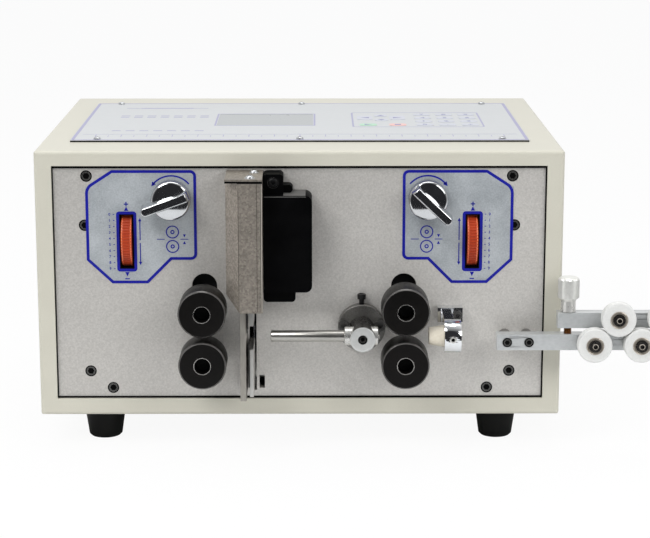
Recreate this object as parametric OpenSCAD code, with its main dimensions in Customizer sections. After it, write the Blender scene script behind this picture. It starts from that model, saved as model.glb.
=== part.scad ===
// Bench wire cutting and stripping machine: steel case, machine plate with two pairs of feed
// rollers, blade slide under a guard, swinging guide tube, inlet nozzle and wire straightener.
// Frame: +X right, +Y back, +Z up, feet on Z = 0, origin under the middle of the whole box.

/* [Case] */
// Width of the case
case_w = 400; // [390:1:440]
// Depth of the case
case_d = 300; // [290:1:360]
// Height of the case without its feet
case_h = 206; // [206:1:220]
// Thickness of the case sheet
sheet_t = 2; // [1.5:0.1:2.5]
// Outer bend radius of the case edges
bend_r = 2.5; // [2:0.5:4]
// Width of the rim round the front opening
rim_w = 13; // [11:0.5:13]
// Width of the rim above the front opening
rim_top_w = 11.5; // [10:0.5:13]
// Depth of the return behind the rim
rim_depth = 14; // [12:1:20]
// Height of a rubber foot
foot_h = 26; // [15:1:35]
// Diameter of a foot where it meets the case
foot_top_d = 33; // [28:1:40]
// Diameter of a foot where it meets the bench
foot_tip_d = 26; // [20:0.5:27]
// Distance of the feet from the case sides
foot_side_inset = 46; // [30:1:60]
// Distance of the feet from the front and the rear of the case
foot_end_inset = 36; // [25:1:50]

/* [Control panel] */
// Width of the control panel plate
panel_w = 355; // [330:1:360]
// Depth of the control panel plate
panel_d = 212; // [200:1:220]
// Distance of the control panel from the front of the case
panel_front = 44; // [35:1:50]
// Thickness of the control panel plate
panel_t = 1.5; // [1.5:0.1:3]
// Width of the display window
display_w = 78; // [70:1:90]
// Depth of the display window
display_d = 65; // [60:1:75]

/* [Machine plate] */
// Thickness of the machine plate
plate_t = 8; // [7:0.5:10]
// Distance of the machine plate behind the rim
plate_setback = 3; // [2:0.5:5]
// Gap between the machine plate and the rim
plate_gap = 1; // [0.5:0.1:1.5]
// Clear depth between the machine plate and the bearing wall
bay_depth = 70; // [66:1:80]
// Thickness of the bearing wall
wall_t = 8; // [6:0.5:10]

/* [Feed rollers] */
// Diameter of a feed roller
roller_d = 36; // [34:0.5:37]
// Length of a feed roller
roller_len = 26; // [20:1:28]
// Diameter of the roller shafts
shaft_d = 12; // [10:0.5:13]
// Place of the left rollers across the machine
left_roller_x = -72.7; // [-75:0.1:-72]
// Place of the right rollers across the machine
right_roller_x = 79.4; // [79:0.1:82]
// Height of the wire line above the bottom of the case
wire_z = 70; // [68:0.5:73]
// Distance of the wire line in front of the machine plate
wire_reach = 32; // [31:0.5:36]
// Gap between the rollers when a knob points level
closed_gap = 2.5; // [2:0.1:3]
// Lift of the upper roller for each radian of knob turn
lift_per_rad = 3.25; // [3:0.05:3.3]
// Angle of the left knob below level, as shown
left_knob_angle = 19.8; // [10:0.1:50]
// Angle of the right knob below level, as shown
right_knob_angle = 43.6; // [10:0.1:50]

/* [Knobs and gap wheels] */
// Diameter of a knob
knob_d = 30; // [26:0.2:32]
// Distance of the knobs from the middle of the machine
knob_x = 97; // [95:0.5:99]
// Height of the knobs above the bottom of the case
knob_z = 169; // [167:1:171]
// Distance of the gap wheels from the middle of the machine
wheel_x = 131.3; // [130:0.1:133]
// Height of the gap wheels above the bottom of the case
wheel_z = 136; // [134:1:138]
// Diameter of a gap wheel
wheel_d = 43.6; // [42:0.2:44]
// Thickness of a gap wheel
wheel_t = 8; // [7:0.5:9]
// How far a gap wheel stands out of the machine plate
wheel_proud = 6.8; // [6:0.2:8]
// Height of the window that a gap wheel shows through
window_h = 42; // [41:0.5:46]

/* [Cutter] */
// Place of the blade gap across the machine
blade_x = -38.75; // [-39:0.05:-38.5]
// Thickness of one blade
blade_t = 0.9; // [0.7:0.05:1]
// Half of the opening between the blade tips, as shown
blade_open = 4; // [3.5:0.5:6]
// Diameter of the cutter screw
screw_d = 10; // [8:0.5:12]
// Distance of the guard's front in front of the machine plate
guard_reach = 43; // [42:0.5:45]
// Width of the black cover beside the guard
cover_w = 36.5; // [34:0.5:38]
// Distance of the cover's front in front of the machine plate
cover_reach = 27; // [24:0.5:27]

/* [Guide tube and inlet] */
// Place of the tube pivot across the machine
pivot_x = 47.2; // [46.8:0.1:47.4]
// Outer diameter of the guide tube
tube_d = 8.6; // [8.4:0.1:9]
// Bore of the guide tube
tube_bore = 6.8; // [6.8:0.1:7]
// Reach of the guide tube towards the blades
tube_reach = 68.7; // [60:0.1:69]
// Diameter of the pivot flange
flange_d = 36; // [35:0.5:37]
// Bore of the inlet nozzle
nozzle_bore = 7; // [6.8:0.1:8]
// Diameter of the collar that holds the inlet nozzle
collar_d = 25.5; // [24:0.5:27]
// Place of the collar's inner face across the machine
collar_x = 108.5; // [108:0.5:110]

/* [Straightener] */
// Diameter of a straightener roller
guide_roller_d = 26; // [25:0.1:26]
// Width of a straightener roller
guide_roller_w = 9; // [8:0.5:10]
// Distance between neighbouring rollers on one bar
roller_pitch = 35; // [34.8:0.1:37]
// Height of a straightener bar
bar_h = 12.4; // [11:0.1:13]
// Thickness of a straightener bar
bar_t = 10; // [9:0.5:11]
// Distance of the base bar's inner end from the edge of the machine plate
bar_inset = 37; // [36:0.5:39]
// Height of the base bar's middle above the bottom of the case
bar_z = 62.8; // [62:0.1:64]
// Height of the upper rollers above the base rollers
nest_dz = 20; // [19.8:0.1:22]
// Diameter of a thumbscrew's head
thumb_d = 16.5; // [14:0.1:18]
// Diameter of a thumbscrew's thread
thumb_thread_d = 6; // [5:0.5:7]

/* [Hidden] */
$fn = 48;

// Running clearance of shafts, face clearance of sliding pieces, overlap of joined shapes
run = 0.05;
slip = 0.35;
lap = 0.5;

// Heights and depths that many pieces share
floor_z = foot_h + sheet_t;
top_z = foot_h + case_h;
mid_z = foot_h + case_h / 2;
plate_y = plate_setback;
plate_back = plate_y + plate_t;
wall_y = plate_back + bay_depth;
wall_back = wall_y + wall_t;
wire_y = plate_y - wire_reach;
line_z = foot_h + wire_z;
opening_w = case_w - 2 * rim_w;
opening_h = case_h - rim_w - rim_top_w;
opening_mid_z = foot_h + rim_w + opening_h / 2;
plate_w = opening_w - 2 * plate_gap;
plate_h = opening_h - 2 * plate_gap;
plate_top = opening_mid_z + plate_h / 2;

// Feed rollers: side -1 is left, side 1 is right
function roller_x(side) = side < 0 ? left_roller_x : right_roller_x;
function knob_angle(side) = side < 0 ? left_knob_angle : right_knob_angle;
function shown_lift(side) = lift_per_rad * knob_angle(side) * PI / 180;
closed_distance = roller_d + closed_gap;
mid_lift = (shown_lift(-1) + shown_lift(1)) / 2;
lower_z = line_z - (closed_distance + mid_lift) / 2;
function upper_z(side) = lower_z + closed_distance + shown_lift(side);
roller_front = wire_y - roller_len / 2;
roller_back = wire_y + roller_len / 2;
shaft_front = roller_front + 12;
slot_w = shaft_d + 7.4;
slot_low = lower_z + closed_distance - 3;
slot_high = lower_z + closed_distance + 13;
bearing_d = shaft_d + 14;

// Gears on the feed shafts
gear_teeth = 13;
gear_pressure = 25;
gear_backlash = 0.5;
gear_module = closed_distance / gear_teeth;
gear_tip_r = closed_distance / 2 + gear_module * 0.95;
gear_root_r = closed_distance / 2 - gear_module * 1.15;
gear_w = 12;
gear_y = plate_back + bay_depth / 2 - gear_w / 2;

// Upper roller carriages with their cranks
cheek_t = 10;
cheek_w = 30;
carriage_low = lower_z + closed_distance - 11;
bridge_z = lower_z + closed_distance + gear_tip_r + 8;
bridge_t = 9;
carriage_front = plate_back + slip;
carriage_rear = wall_y - slip;
knob_axis_z = foot_h + knob_z;
spindle_d = 8;
crank_throw = lift_per_rad / 0.9;
crank_r = 7.5;
crank_t = 3;
pin_d = 5;
crank_front = plate_back + slip;
arm_front = crank_front + crank_t + slip;
arm_t = 6;
arm_slot_h = pin_d + 2 * slip;
function pin_phase(side) = knob_angle(side) - 45;
function pin_z(side) = knob_axis_z + crank_throw * sin(pin_phase(side));
pin_reach = knob_x - crank_throw * 0.87;
arm_inner = pin_reach - 11;
arm_outer = pin_reach + 9;

// Gap wheels with the eccentric stops on their axles
wheel_axis_z = foot_h + wheel_z;
wheel_axis_y = plate_y - wheel_proud + wheel_d / 2;
window_w = wheel_t + 2.5;
axle_d = 6;
ecc_d = 12;
ecc_throw = 1.5;
ecc_inner = arm_outer + 4;
ecc_outer = ecc_inner + 10;
stop_z = wheel_axis_z + ecc_d / 2 + ecc_throw + slip;
ear_t = 3;
ear_gap = 0.5;

// Cutter slide
blade_space = 2.5;
guide_t = 4.5;
holder_t = 3;
guide_x = blade_x - blade_space / 2 - guide_t;
holder_x = blade_x + blade_space / 2;
slide_front = plate_y - guard_reach + 4;
blade_w = 16;
blade_h = 34;
nut_w = 20;
nut_h = 20;
nut_offset = 36;
tang_near = nut_offset - 14;
tang_far = nut_offset + 4;
blade_travel = 10;
screw_x = holder_x + holder_t / 2;
screw_y = plate_back + 22;
slide_low = foot_h + 21;
slide_high = plate_top - 11.5;
shelf_z = line_z + nut_offset + nut_h / 2 + blade_travel + 4;
shelf_t = 8;
small_motor_w = 40;
small_motor_h = 40;
guard_low = line_z + 20;
guard_high = plate_top - 2.5;
guard_t = 1.5;
guard_left = blade_x - 16.25;
guard_right = blade_x + 11.5;
cover_left = guard_right + 0.2;
cover_low = line_z + 32.3;
cover_high = line_z + 105.8;
cover_t = 3;

// Guide tube and inlet
tube_tail = 13;
sleeve_d = 14;
hub_d = 19;
hub_front = wire_y - 13;
hub_shaft_d = 10;
flange_t = 8;
flange_screw_r = 13.8;
flange_screw_z = line_z + 2.8;
swing_motor_d = 20;
swing_motor_len = 45;
collar_len = 12.5;
nozzle_tip_d = 13;
nozzle_wide_d = 16.5;
nozzle_seat_d = 14;
nozzle_reach = 11.5;
holder_block_x = 105;
holder_block_w = 19;
holder_screw_x = 120;
holder_screw_z = line_z + 10.8;

// Straightener
spacer_t = 3;
bar_front = wire_y + guide_roller_w / 2 + spacer_t;
bar_back = bar_front + bar_t;
bar_mid_y = bar_front + bar_t / 2;
base_mid_z = foot_h + bar_z;
top_mid_z = base_mid_z + nest_dz - 3;
bar_start = plate_w / 2 - bar_inset;
first_roller_x = bar_start + 73;
thumb_x = first_roller_x - 19;
far_thumb_x = first_roller_x + 2 * roller_pitch + 19;
bar_end = far_thumb_x + 8.3;
top_start = thumb_x - 8.3;
axle_d4 = 4;
post_d = 9.5;
post_x = [bar_start + 8, bar_start + 24.5];
thumb_neck_d = 11.5;
thumb_neck_h = 9.6;
thumb_head_h = 16.6;

// Socket screws
m5_head = 8.5;
m5_shank = 5;
m4_head = 7;
m4_shank = 4;
wheel_room = 23.7;
frame_side_x = wheel_x + wheel_room;
plate_screws = [[frame_side_x + 6, 186.4], [frame_side_x + 8, 148.6], [frame_side_x + 6, 34.3],
    [frame_side_x - 11, 21]];
frame_side_t = 12;

// Rear of the machine
rear_panel_t = 1.5;
inlet_flange_t = 2.5;
inlet_w = 62;
inlet_h = 29;
inlet_x = -120;
inlet_z = foot_h + 52;
inlet_y = case_d + rear_panel_t;
inlet_rear = inlet_y + inlet_flange_t;
socket_w = 24.5;
socket_h = 17;
socket_depth = 17;
socket_x = inlet_x - 11;
rocker_w = 13;
rocker_h = 19;
rocker_x = inlet_x + 19;
rocker_r = 14;
rocker_proud = 3;

// Whole box, whose bottom centre is the origin
box_front = min(roller_front, hub_front, plate_y - guard_reach);
box_rear = inlet_rear + rocker_proud;
origin_x = (bar_end - case_w / 2) / 2;
origin_y = (box_front + box_rear) / 2;

// Colours of the pieces
cream = "#d9d6c9";
plate_grey = "#b9babd";
black = "#1c1c1e";
steel = "#a9acb0";
zinc = "#8f8a82";
chrome = "#d5d8dc";
orange = "#d9531e";
nylon = "#efefed";
ivory = "#e3dcc6";

// Shared shapes

// A flat shape in X and Z, drawn out along Y
module along_y(from, to) {
    translate([0, to, 0]) rotate([90, 0, 0]) linear_extrude(to - from) children();
}

// A rod along Y
module rod_y(x, z, from, to, d) {
    translate([x, to, z]) rotate([90, 0, 0]) cylinder(d = d, h = to - from);
}

// A rod along X
module rod_x(y, z, from, to, d) {
    translate([from, y, z]) rotate([0, 90, 0]) cylinder(d = d, h = to - from);
}

// A block between two corners
module block(low, high) {
    translate(low) cube(high - low);
}

// A block between two corners that is mirrored to the chosen side
module side_block(side, low, high) {
    if (side < 0) block([-high[0], low[1], low[2]], [-low[0], high[1], high[2]]);
    else block(low, high);
}

// A rectangle with round corners, centred
module round_rect(w, h, r) {
    square([w - 2 * r, h], center = true);
    square([w, h - 2 * r], center = true);
    for (x = [-1, 1], z = [-1, 1]) translate([x * (w / 2 - r), z * (h / 2 - r)]) circle(r);
}

// An upright slot with round ends
module slot_xz(w, low, high) {
    translate([-w / 2, low]) square([w, high - low]);
    translate([0, low]) circle(d = w);
    translate([0, high]) circle(d = w);
}

// A socket head screw along Y, its head's front at y
module socket_screw(x, y, z, head_d, shank_d, len) {
    difference() {
        union() {
            rod_y(x, z, y, y + shank_d, head_d);
            rod_y(x, z, y + shank_d - lap, y + shank_d + len, shank_d);
        }
        translate([x, y + shank_d * 0.6, z]) rotate([90, 0, 0])
            cylinder(d = shank_d * 0.95, h = shank_d, $fn = 6);
    }
}

// A ring along Y
module ring_y(x, z, from, to, outer, inner) {
    along_y(from, to) translate([x, z]) difference() {
        circle(d = outer);
        circle(d = inner);
    }
}

// Involute gear outline with a tooth pointing up; its odd tooth count leaves a gap pointing down
function involute_angle(r, base) = r <= base ? 0 : let (t = sqrt(pow(r / base, 2) - 1))
    t * 180 / PI - atan(t);
function polar(r, a) = r * [sin(a), cos(a)];
module gear_outline() {
    pitch_r = closed_distance / 2;
    base = pitch_r * cos(gear_pressure);
    half = 90 / gear_teeth - gear_backlash / 2 / pitch_r * 180 / PI + involute_angle(pitch_r, base);
    start = max(base, gear_root_r);
    radii = [for (k = [0:3]) start + (gear_tip_r - start) * k / 3];
    polygon([for (i = [0:gear_teeth - 1]) let (turn = 360 * i / gear_teeth) each concat(
        [polar(gear_root_r, turn - half)],
        [for (k = [0:3]) polar(radii[k], turn - half + involute_angle(radii[k], base))],
        [for (k = [3:-1:0]) polar(radii[k], turn + half - involute_angle(radii[k], base))],
        [polar(gear_root_r, turn + half)])]);
}

// Case

// Cutter that rounds one front edge, lying along X
module edge_round(len) {
    difference() {
        translate([-len / 2, -1, -1]) cube([len, bend_r + 1, bend_r + 1]);
        translate([-len / 2 - 1, bend_r, bend_r]) rotate([0, 90, 0]) cylinder(r = bend_r, h = len + 2);
    }
}

module case_shell() color(cream) difference() {
    translate([0, 0, mid_z]) union() {
        along_y(0, case_d) difference() {
            round_rect(case_w, case_h, bend_r);
            round_rect(case_w - 2 * sheet_t, case_h - 2 * sheet_t, bend_r - sheet_t + 0.6);
        }
        along_y(0, sheet_t) difference() {
            round_rect(case_w, case_h, bend_r);
            translate([0, opening_mid_z - mid_z]) square([opening_w, opening_h], center = true);
        }
        translate([0, 0, opening_mid_z - mid_z]) along_y(0, rim_depth) difference() {
            square([opening_w + 2 * sheet_t, opening_h + 2 * sheet_t], center = true);
            square([opening_w, opening_h], center = true);
        }
        along_y(case_d - sheet_t, case_d) difference() {
            round_rect(case_w, case_h, bend_r);
            square([opening_w, opening_h], center = true);
        }
    }
    translate([0, 0, foot_h]) edge_round(case_w + 4);
    translate([0, 0, top_z]) mirror([0, 0, 1]) edge_round(case_w + 4);
    translate([-case_w / 2, 0, mid_z]) rotate([0, 90, 0]) edge_round(case_h + 4);
    translate([case_w / 2, 0, mid_z]) rotate([0, -90, 0]) edge_round(case_h + 4);
    block([12 - panel_w / 2, panel_front + 12, top_z - 2 * sheet_t],
        [panel_w / 2 - 12, panel_front + panel_d - 12, top_z + 1]);
}

module rear_panel() color(cream) difference() {
    translate([0, 0, mid_z]) along_y(case_d, inlet_y)
        round_rect(case_w - 2 * bend_r, case_h - 2 * bend_r, bend_r);
    block([inlet_x - inlet_w / 2 + 3, case_d - 1, inlet_z - inlet_h / 2 + 2],
        [inlet_x + inlet_w / 2 - 3, inlet_y + 1, inlet_z + inlet_h / 2 - 2]);
    for (i = [0:7]) translate([case_w * 0.22 + (i - 3.5) * 11, 0, mid_z + 25])
        along_y(case_d - 1, inlet_y + 1) slot_xz(4, -24, 24);
}

module feet() color(black) for (x = [-1, 1], y = [foot_end_inset, case_d - foot_end_inset])
    translate([x * (case_w / 2 - foot_side_inset), y, 0]) difference() {
        union() {
            cylinder(d1 = foot_tip_d - 3, d2 = foot_tip_d, h = 1.5);
            translate([0, 0, 1.5]) cylinder(d1 = foot_tip_d, d2 = foot_top_d, h = foot_h - 1.5);
        }
        translate([0, 0, -1]) cylinder(d = 9, h = 7);
    }

display_x = -29;
display_y = panel_front + panel_d * 0.526;
display_t = 1.2;

// The panel plate with the heads of the six screws that hold it
panel_screw_d = 5.6;
panel_screw_x = panel_w / 2 - 20.5;
panel_screw_inset = 5;
module control_panel() color("#e3e6ec") {
    difference() {
        translate([0, panel_front + panel_d / 2, top_z]) linear_extrude(panel_t)
            round_rect(panel_w, panel_d, 2);
        translate([display_x - display_w / 2, display_y - display_d / 2, top_z - 1])
            cube([display_w, display_d, panel_t + 2]);
    }
    for (x = [-panel_screw_x, 0, panel_screw_x],
        y = [panel_front + panel_screw_inset, panel_front + panel_d - panel_screw_inset])
        translate([x, y, top_z + panel_t - lap]) {
            cylinder(d = panel_screw_d, h = lap + 0.9);
            translate([0, 0, lap + 0.4]) cylinder(d1 = panel_screw_d, d2 = panel_screw_d - 1.6, h = 1.3);
        }
}

module display_window() color("#b9c0bb") translate([display_x, display_y,
    top_z + panel_t - display_t - 0.2])
    linear_extrude(display_t) square([display_w - 2 * run, display_d - 2 * run], center = true);

module power_inlet() color(black) difference() {
    union() {
        translate([inlet_x, 0, inlet_z]) along_y(inlet_y, inlet_rear) round_rect(inlet_w, inlet_h, 4);
        block([inlet_x - inlet_w / 2 + 3.2, case_d - 22, inlet_z - inlet_h / 2 + 2.2],
            [inlet_x + inlet_w / 2 - 3.2, inlet_y + 1, inlet_z + inlet_h / 2 - 2.2]);
    }
    difference() {
        translate([socket_x, 0, inlet_z]) along_y(inlet_rear - socket_depth, inlet_rear + 5)
            polygon([[-socket_w / 2, -socket_h / 2], [socket_w / 2, -socket_h / 2],
                [socket_w / 2, socket_h / 2 - 5],
                [socket_w / 2 - 5, socket_h / 2], [5 - socket_w / 2, socket_h / 2],
                    [-socket_w / 2, socket_h / 2 - 5]]);
        for (p = [[-7, -2], [0, 2], [7, -2]]) block([socket_x + p[0] - 1, case_d - 21, inlet_z + p[1] - 2],
            [socket_x + p[0] + 1, inlet_rear - 6, inlet_z + p[1] + 2]);
    }
    block([rocker_x - rocker_w / 2 - slip, case_d - 16, inlet_z - rocker_h / 2 - 1],
        [rocker_x + rocker_w / 2 + slip, inlet_rear + 5, inlet_z + rocker_h / 2 + 1]);
}

// The rocker turns on a pin across its bezel
rocker_y = inlet_rear + rocker_proud - rocker_r;
module power_rocker() color("#202124") intersection() {
    rod_x(rocker_y, inlet_z, rocker_x - rocker_w / 2, rocker_x + rocker_w / 2, 2 * rocker_r);
    block([rocker_x - rocker_w, rocker_y - 3, inlet_z - rocker_h / 2 + 2],
        [rocker_x + rocker_w, rocker_y + 30, inlet_z + rocker_h / 2 - 2]);
}

supply_w = 150;
supply_d = 90;
supply_h = 40;
supply_y = case_d - 32 - supply_d;
module power_supply() color("#9aa0a4") difference() {
    block([5, supply_y, floor_z], [5 + supply_w, supply_y + supply_d, floor_z + supply_h]);
    for (i = [0:6]) translate([80 + (i - 3) * 18, supply_y + supply_d / 2, floor_z + supply_h - 3])
        linear_extrude(4) slot_xz(6, -22, 22);
}

board_w = 180;
board_d = 100;
board_drop = 24;
module control_board() color("#1d5a37") translate([-board_w / 2, panel_front + panel_d / 2 - board_d / 2,
    top_z - board_drop]) union() {
    cube([board_w, board_d, 1.6]);
    for (x = [6, board_w - 6], y = [6, board_d - 6]) translate([x, y, 0]) cylinder(d = 7, h = board_drop);
    translate([20, 20, 0]) cube([30, 30, 6]);
    translate([80, 30, 0]) cube([60, 14, 12]);
}

// Machine plate and the frame behind it

module front_plate() color(plate_grey) difference() {
    along_y(plate_y, plate_back) difference() {
        translate([0, opening_mid_z]) square([plate_w, plate_h], center = true);
        for (side = [-1, 1]) {
            translate([roller_x(side), lower_z]) circle(d = bearing_d);
            translate([roller_x(side), 0]) slot_xz(slot_w, slot_low, slot_high);
            translate([side * knob_x, knob_axis_z]) circle(d = spindle_d + 2 * run);
            translate([side * wheel_x, wheel_axis_z]) square([window_w, window_h], center = true);
            for (p = plate_screws) translate([side * p[0], foot_h + p[1]]) circle(d = m5_shank);
        }
        translate([holder_x - 1.2, line_z - tang_far - blade_travel - 1])
            square([holder_t + 2.4, 2 * (tang_far + blade_travel + 1)]);
        translate([holder_x + 6.2, foot_h + 20.6]) square([4.2, 10.4]);
        translate([pivot_x, line_z]) circle(d = hub_shaft_d + 2 * run);
        for (s = [-1, 1]) translate([pivot_x + s * flange_screw_r, flange_screw_z]) circle(d = m5_shank);
        for (x = post_x) translate([x, base_mid_z]) circle(d = m4_shank);
        translate([holder_screw_x, holder_screw_z]) circle(d = m4_shank);
    }
    for (side = [-1, 1], p = plate_screws) rod_y(side * p[0], foot_h + p[1], plate_y - 1,
        plate_y + m5_shank + 0.3, m5_head + 0.4);
}

dial_r = 5.5;
function corner(x, z, from) = [for (a = [from:15:from + 90]) [x + dial_r * cos(a), z + dial_r * sin(a)]];
function dial_outline(side) = [for (p = concat([[142, 191]], corner(78 + dial_r, 191 - dial_r, 90),
    corner(78 + dial_r, 121.8 + dial_r, 180),
        [[97.3, 121.8], [115.5, 103.5], [142.8, 103.5], [162, 121.5], [162, 178]]))
    [side * p[0], foot_h + p[1]]];
film_t = 0.3;
module dial_plates() color("#c4cbe0") for (side = [-1, 1]) along_y(plate_y - film_t, plate_y) difference() {
    polygon(dial_outline(side));
    translate([side * knob_x, knob_axis_z]) circle(d = spindle_d + 3);
    translate([side * wheel_x, wheel_axis_z]) square([window_w, window_h], center = true);
}

module socket_screws() color(black) {
    for (side = [-1, 1], p = plate_screws) socket_screw(side * p[0], plate_y + 0.3, foot_h + p[1],
        m5_head, m5_shank, 12);
    for (s = [-1, 1]) socket_screw(pivot_x + s * flange_screw_r, plate_y - flange_t - m5_shank,
        flange_screw_z, m5_head, m5_shank, flange_t + 6);
    for (x = post_x) socket_screw(x, bar_front - 0.4, base_mid_z, m4_head, m4_shank,
        plate_back - bar_front - 6);
    socket_screw(holder_screw_x, plate_y - 10 - m4_shank, holder_screw_z, m4_head, m4_shank, 16);
}

module mechanism_frame() color("#8d9196") difference() {
    union() {
        block([-frame_side_x - frame_side_t, wall_y, floor_z],
            [frame_side_x + frame_side_t, wall_back, plate_top - 12]);
        for (side = [-1, 1]) {
            side_block(side, [frame_side_x, plate_back, floor_z],
                [frame_side_x + frame_side_t, wall_y + lap, plate_top]);
            side_block(side, [frame_side_x - 22, plate_back, floor_z],
                [frame_side_x + lap, plate_back + 16, floor_z + 28]);
            for (s = [-1, 1]) translate([roller_x(side) + s * (cheek_w / 2 + slip + 2.5), 0, 0])
                block([-2.5, wall_y - 12, carriage_low - 6], [2.5, wall_y + lap, bridge_z + 18]);
        }
        block([screw_x - 20, plate_back, shelf_z], [screw_x + 20, wall_y + lap, shelf_z + shelf_t]);
        block([screw_x - 10, screw_y - 10, floor_z], [screw_x + 10, wall_y + lap, floor_z + 10]);
    }
    for (side = [-1, 1]) {
        rod_y(roller_x(side), lower_z, wall_y - 1, wall_back + 1, bearing_d);
        for (p = plate_screws) rod_y(side * p[0], foot_h + p[1], plate_back - 1, plate_back + 14, m5_shank);
    }
    translate([screw_x, screw_y, floor_z + 3]) cylinder(d = screw_d + 2 * run, h = shelf_z);
    block([-case_w / 2, plate_back - 1, foot_h], [case_w / 2, rim_depth + slip, foot_h + rim_w + slip]);
}

module shaft_bearings() color(steel) for (side = [-1, 1]) {
    ring_y(roller_x(side), lower_z, plate_y, plate_back, bearing_d, shaft_d + 2 * run);
    ring_y(roller_x(side), lower_z, wall_y, wall_back, bearing_d, shaft_d + 2 * run);
}

feed_motor_w = 56;
feed_motor_len = 56;
module feed_motors() color("#2a2b2e") for (side = [-1, 1]) translate([roller_x(side), 0, lower_z]) {
    difference() {
        along_y(wall_back, wall_back + feed_motor_len) difference() {
            round_rect(feed_motor_w, feed_motor_w, 5);
            for (x = [-1, 1], z = [-1, 1]) translate([x * 23.5, z * 23.5]) circle(d = 5);
        }
        rod_y(0, 0, wall_back - 1, wall_back + 12, shaft_d + 4);
    }
}

// Feed rollers, shafts with gears, and the carriages that lift the upper pair

module feed_roller(x, z) {
    along_y(roller_front + 1, roller_back - 1) translate([x, z]) difference() {
        circle(d = roller_d);
        circle(d = shaft_d);
    }
    for (end = [0, 1]) translate([x, end ? roller_back - 1 : roller_front + 1, z])
        rotate([end ? -90 : 90, 0, 0]) difference() {
        cylinder(d1 = roller_d, d2 = roller_d - 2, h = 1);
        translate([0, 0, -lap]) cylinder(d = shaft_d, h = 2);
    }
}

module lower_shaft(side) {
    difference() {
        union() {
            rod_y(roller_x(side), lower_z, shaft_front, wall_back + 10, shaft_d);
            along_y(gear_y, gear_y + gear_w) translate([roller_x(side), lower_z]) gear_outline();
        }
        translate([roller_x(side), shaft_front + 3, lower_z]) rotate([90, 0, 0])
            cylinder(d = 5, h = 4, $fn = 6);
    }
}

module upper_shaft(side) {
    difference() {
        union() {
            rod_y(roller_x(side), upper_z(side), shaft_front, carriage_rear - 1, shaft_d);
            along_y(gear_y, gear_y + gear_w) translate([roller_x(side), upper_z(side)]) gear_outline();
        }
        translate([roller_x(side), shaft_front + 3, upper_z(side)]) rotate([90, 0, 0])
            cylinder(d = 5, h = 4, $fn = 6);
    }
}

module carriage(side) {
    x = roller_x(side);
    up = shown_lift(side);
    difference() {
        union() {
            block([x - cheek_w / 2, carriage_front, carriage_low + up],
                [x + cheek_w / 2, carriage_front + cheek_t, bridge_z + up + lap]);
            block([x - cheek_w / 2, carriage_rear - cheek_t, carriage_low + up],
                [x + cheek_w / 2, carriage_rear, bridge_z + up + lap]);
            block([x - cheek_w / 2, carriage_front, bridge_z + up],
                [x + cheek_w / 2, carriage_rear, bridge_z + bridge_t + up]);
            side_block(side, [abs(x) - 4, arm_front, bridge_z + up],
                [arm_outer, arm_front + arm_t, bridge_z + bridge_t + up]);
            side_block(side, [arm_inner, arm_front, bridge_z + up],
                [arm_outer, arm_front + arm_t, pin_z(side) + 9]);
            side_block(side, [arm_outer - lap, arm_front, stop_z + up],
                [ecc_outer + 1, arm_front + arm_t, stop_z + 6 + up]);
        }
        rod_y(x, upper_z(side), plate_back, wall_y, shaft_d + 2 * run);
        translate([side * pin_reach, 0, pin_z(side)])
            block([-5.5, plate_back, -arm_slot_h / 2], [5.5, arm_front + arm_t + 1, arm_slot_h / 2]);
    }
}

knob_back = plate_y - 1;
knob_disc = plate_y - 14;
knob_face = plate_y - 23;
lever_root = 8.8;
lever_tip = 6.8;
lever_reach = knob_d / 2 + 5.3;
module knob(side) {
    turn = side < 0 ? 180 - knob_angle(side) : knob_angle(side);
    difference() {
        translate([side * knob_x, 0, knob_axis_z]) rotate([0, turn, 0]) union() {
            rod_y(0, 0, knob_disc + 1, knob_back, knob_d);
            translate([0, knob_disc + 1, 0]) rotate([90, 0, 0])
                cylinder(d1 = knob_d, d2 = knob_d - 2, h = 1);
            along_y(knob_face, knob_disc + 2) {
                polygon([[-11, -lever_root / 2], [lever_reach, -lever_tip / 2],
                    [lever_reach, lever_tip / 2], [-11, lever_root / 2]]);
                translate([lever_reach - 0.4, 0]) circle(d = lever_tip);
                translate([-10.4, 0]) circle(d = lever_root);
            }
        }
        rod_y(side * knob_x, knob_axis_z, knob_disc + 2, plate_y, spindle_d);
    }
}

module crank(side) {
    phase = pin_phase(side);
    rod_y(side * knob_x, knob_axis_z, knob_disc + 2, crank_front + lap, spindle_d);
    rod_y(side * knob_x, knob_axis_z, crank_front, crank_front + crank_t, 2 * crank_r);
    rod_y(side * (knob_x - crank_throw * cos(phase)), pin_z(side), crank_front + crank_t - lap,
        arm_front + arm_t, pin_d);
}

module gap_wheel(side) {
    y = wheel_axis_y;
    z = wheel_axis_z;
    mirror([side < 0 ? 1 : 0, 0, 0]) {
        translate([wheel_x - wheel_t / 2, y, z]) rotate([0, 90, 0]) linear_extrude(wheel_t) difference() {
            circle(d = wheel_d);
            for (i = [0:59]) rotate(i * 6) translate([wheel_d / 2, 0]) circle(d = 1.2, $fn = 8);
        }
        rod_x(y, z, ecc_inner, wheel_x + wheel_t / 2 + ear_gap + ear_t, axle_d);
        rod_x(y + ecc_throw, z, ecc_inner, ecc_outer, ecc_d);
    }
}

module gap_wheel_brackets() color(steel) for (side = [-1, 1]) difference() {
    union() for (s = [-1, 1]) {
        inner = wheel_x + s * (wheel_t / 2 + ear_gap + ear_t / 2) - ear_t / 2;
        side_block(side, [inner, plate_back, wheel_axis_z - 7],
            [inner + ear_t, wheel_axis_y + 7, wheel_axis_z + 7]);
    }
    rod_x(wheel_axis_y, wheel_axis_z, side * wheel_x - 20, side * wheel_x + 20, axle_d + 2 * run);
}

// Cutter

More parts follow.
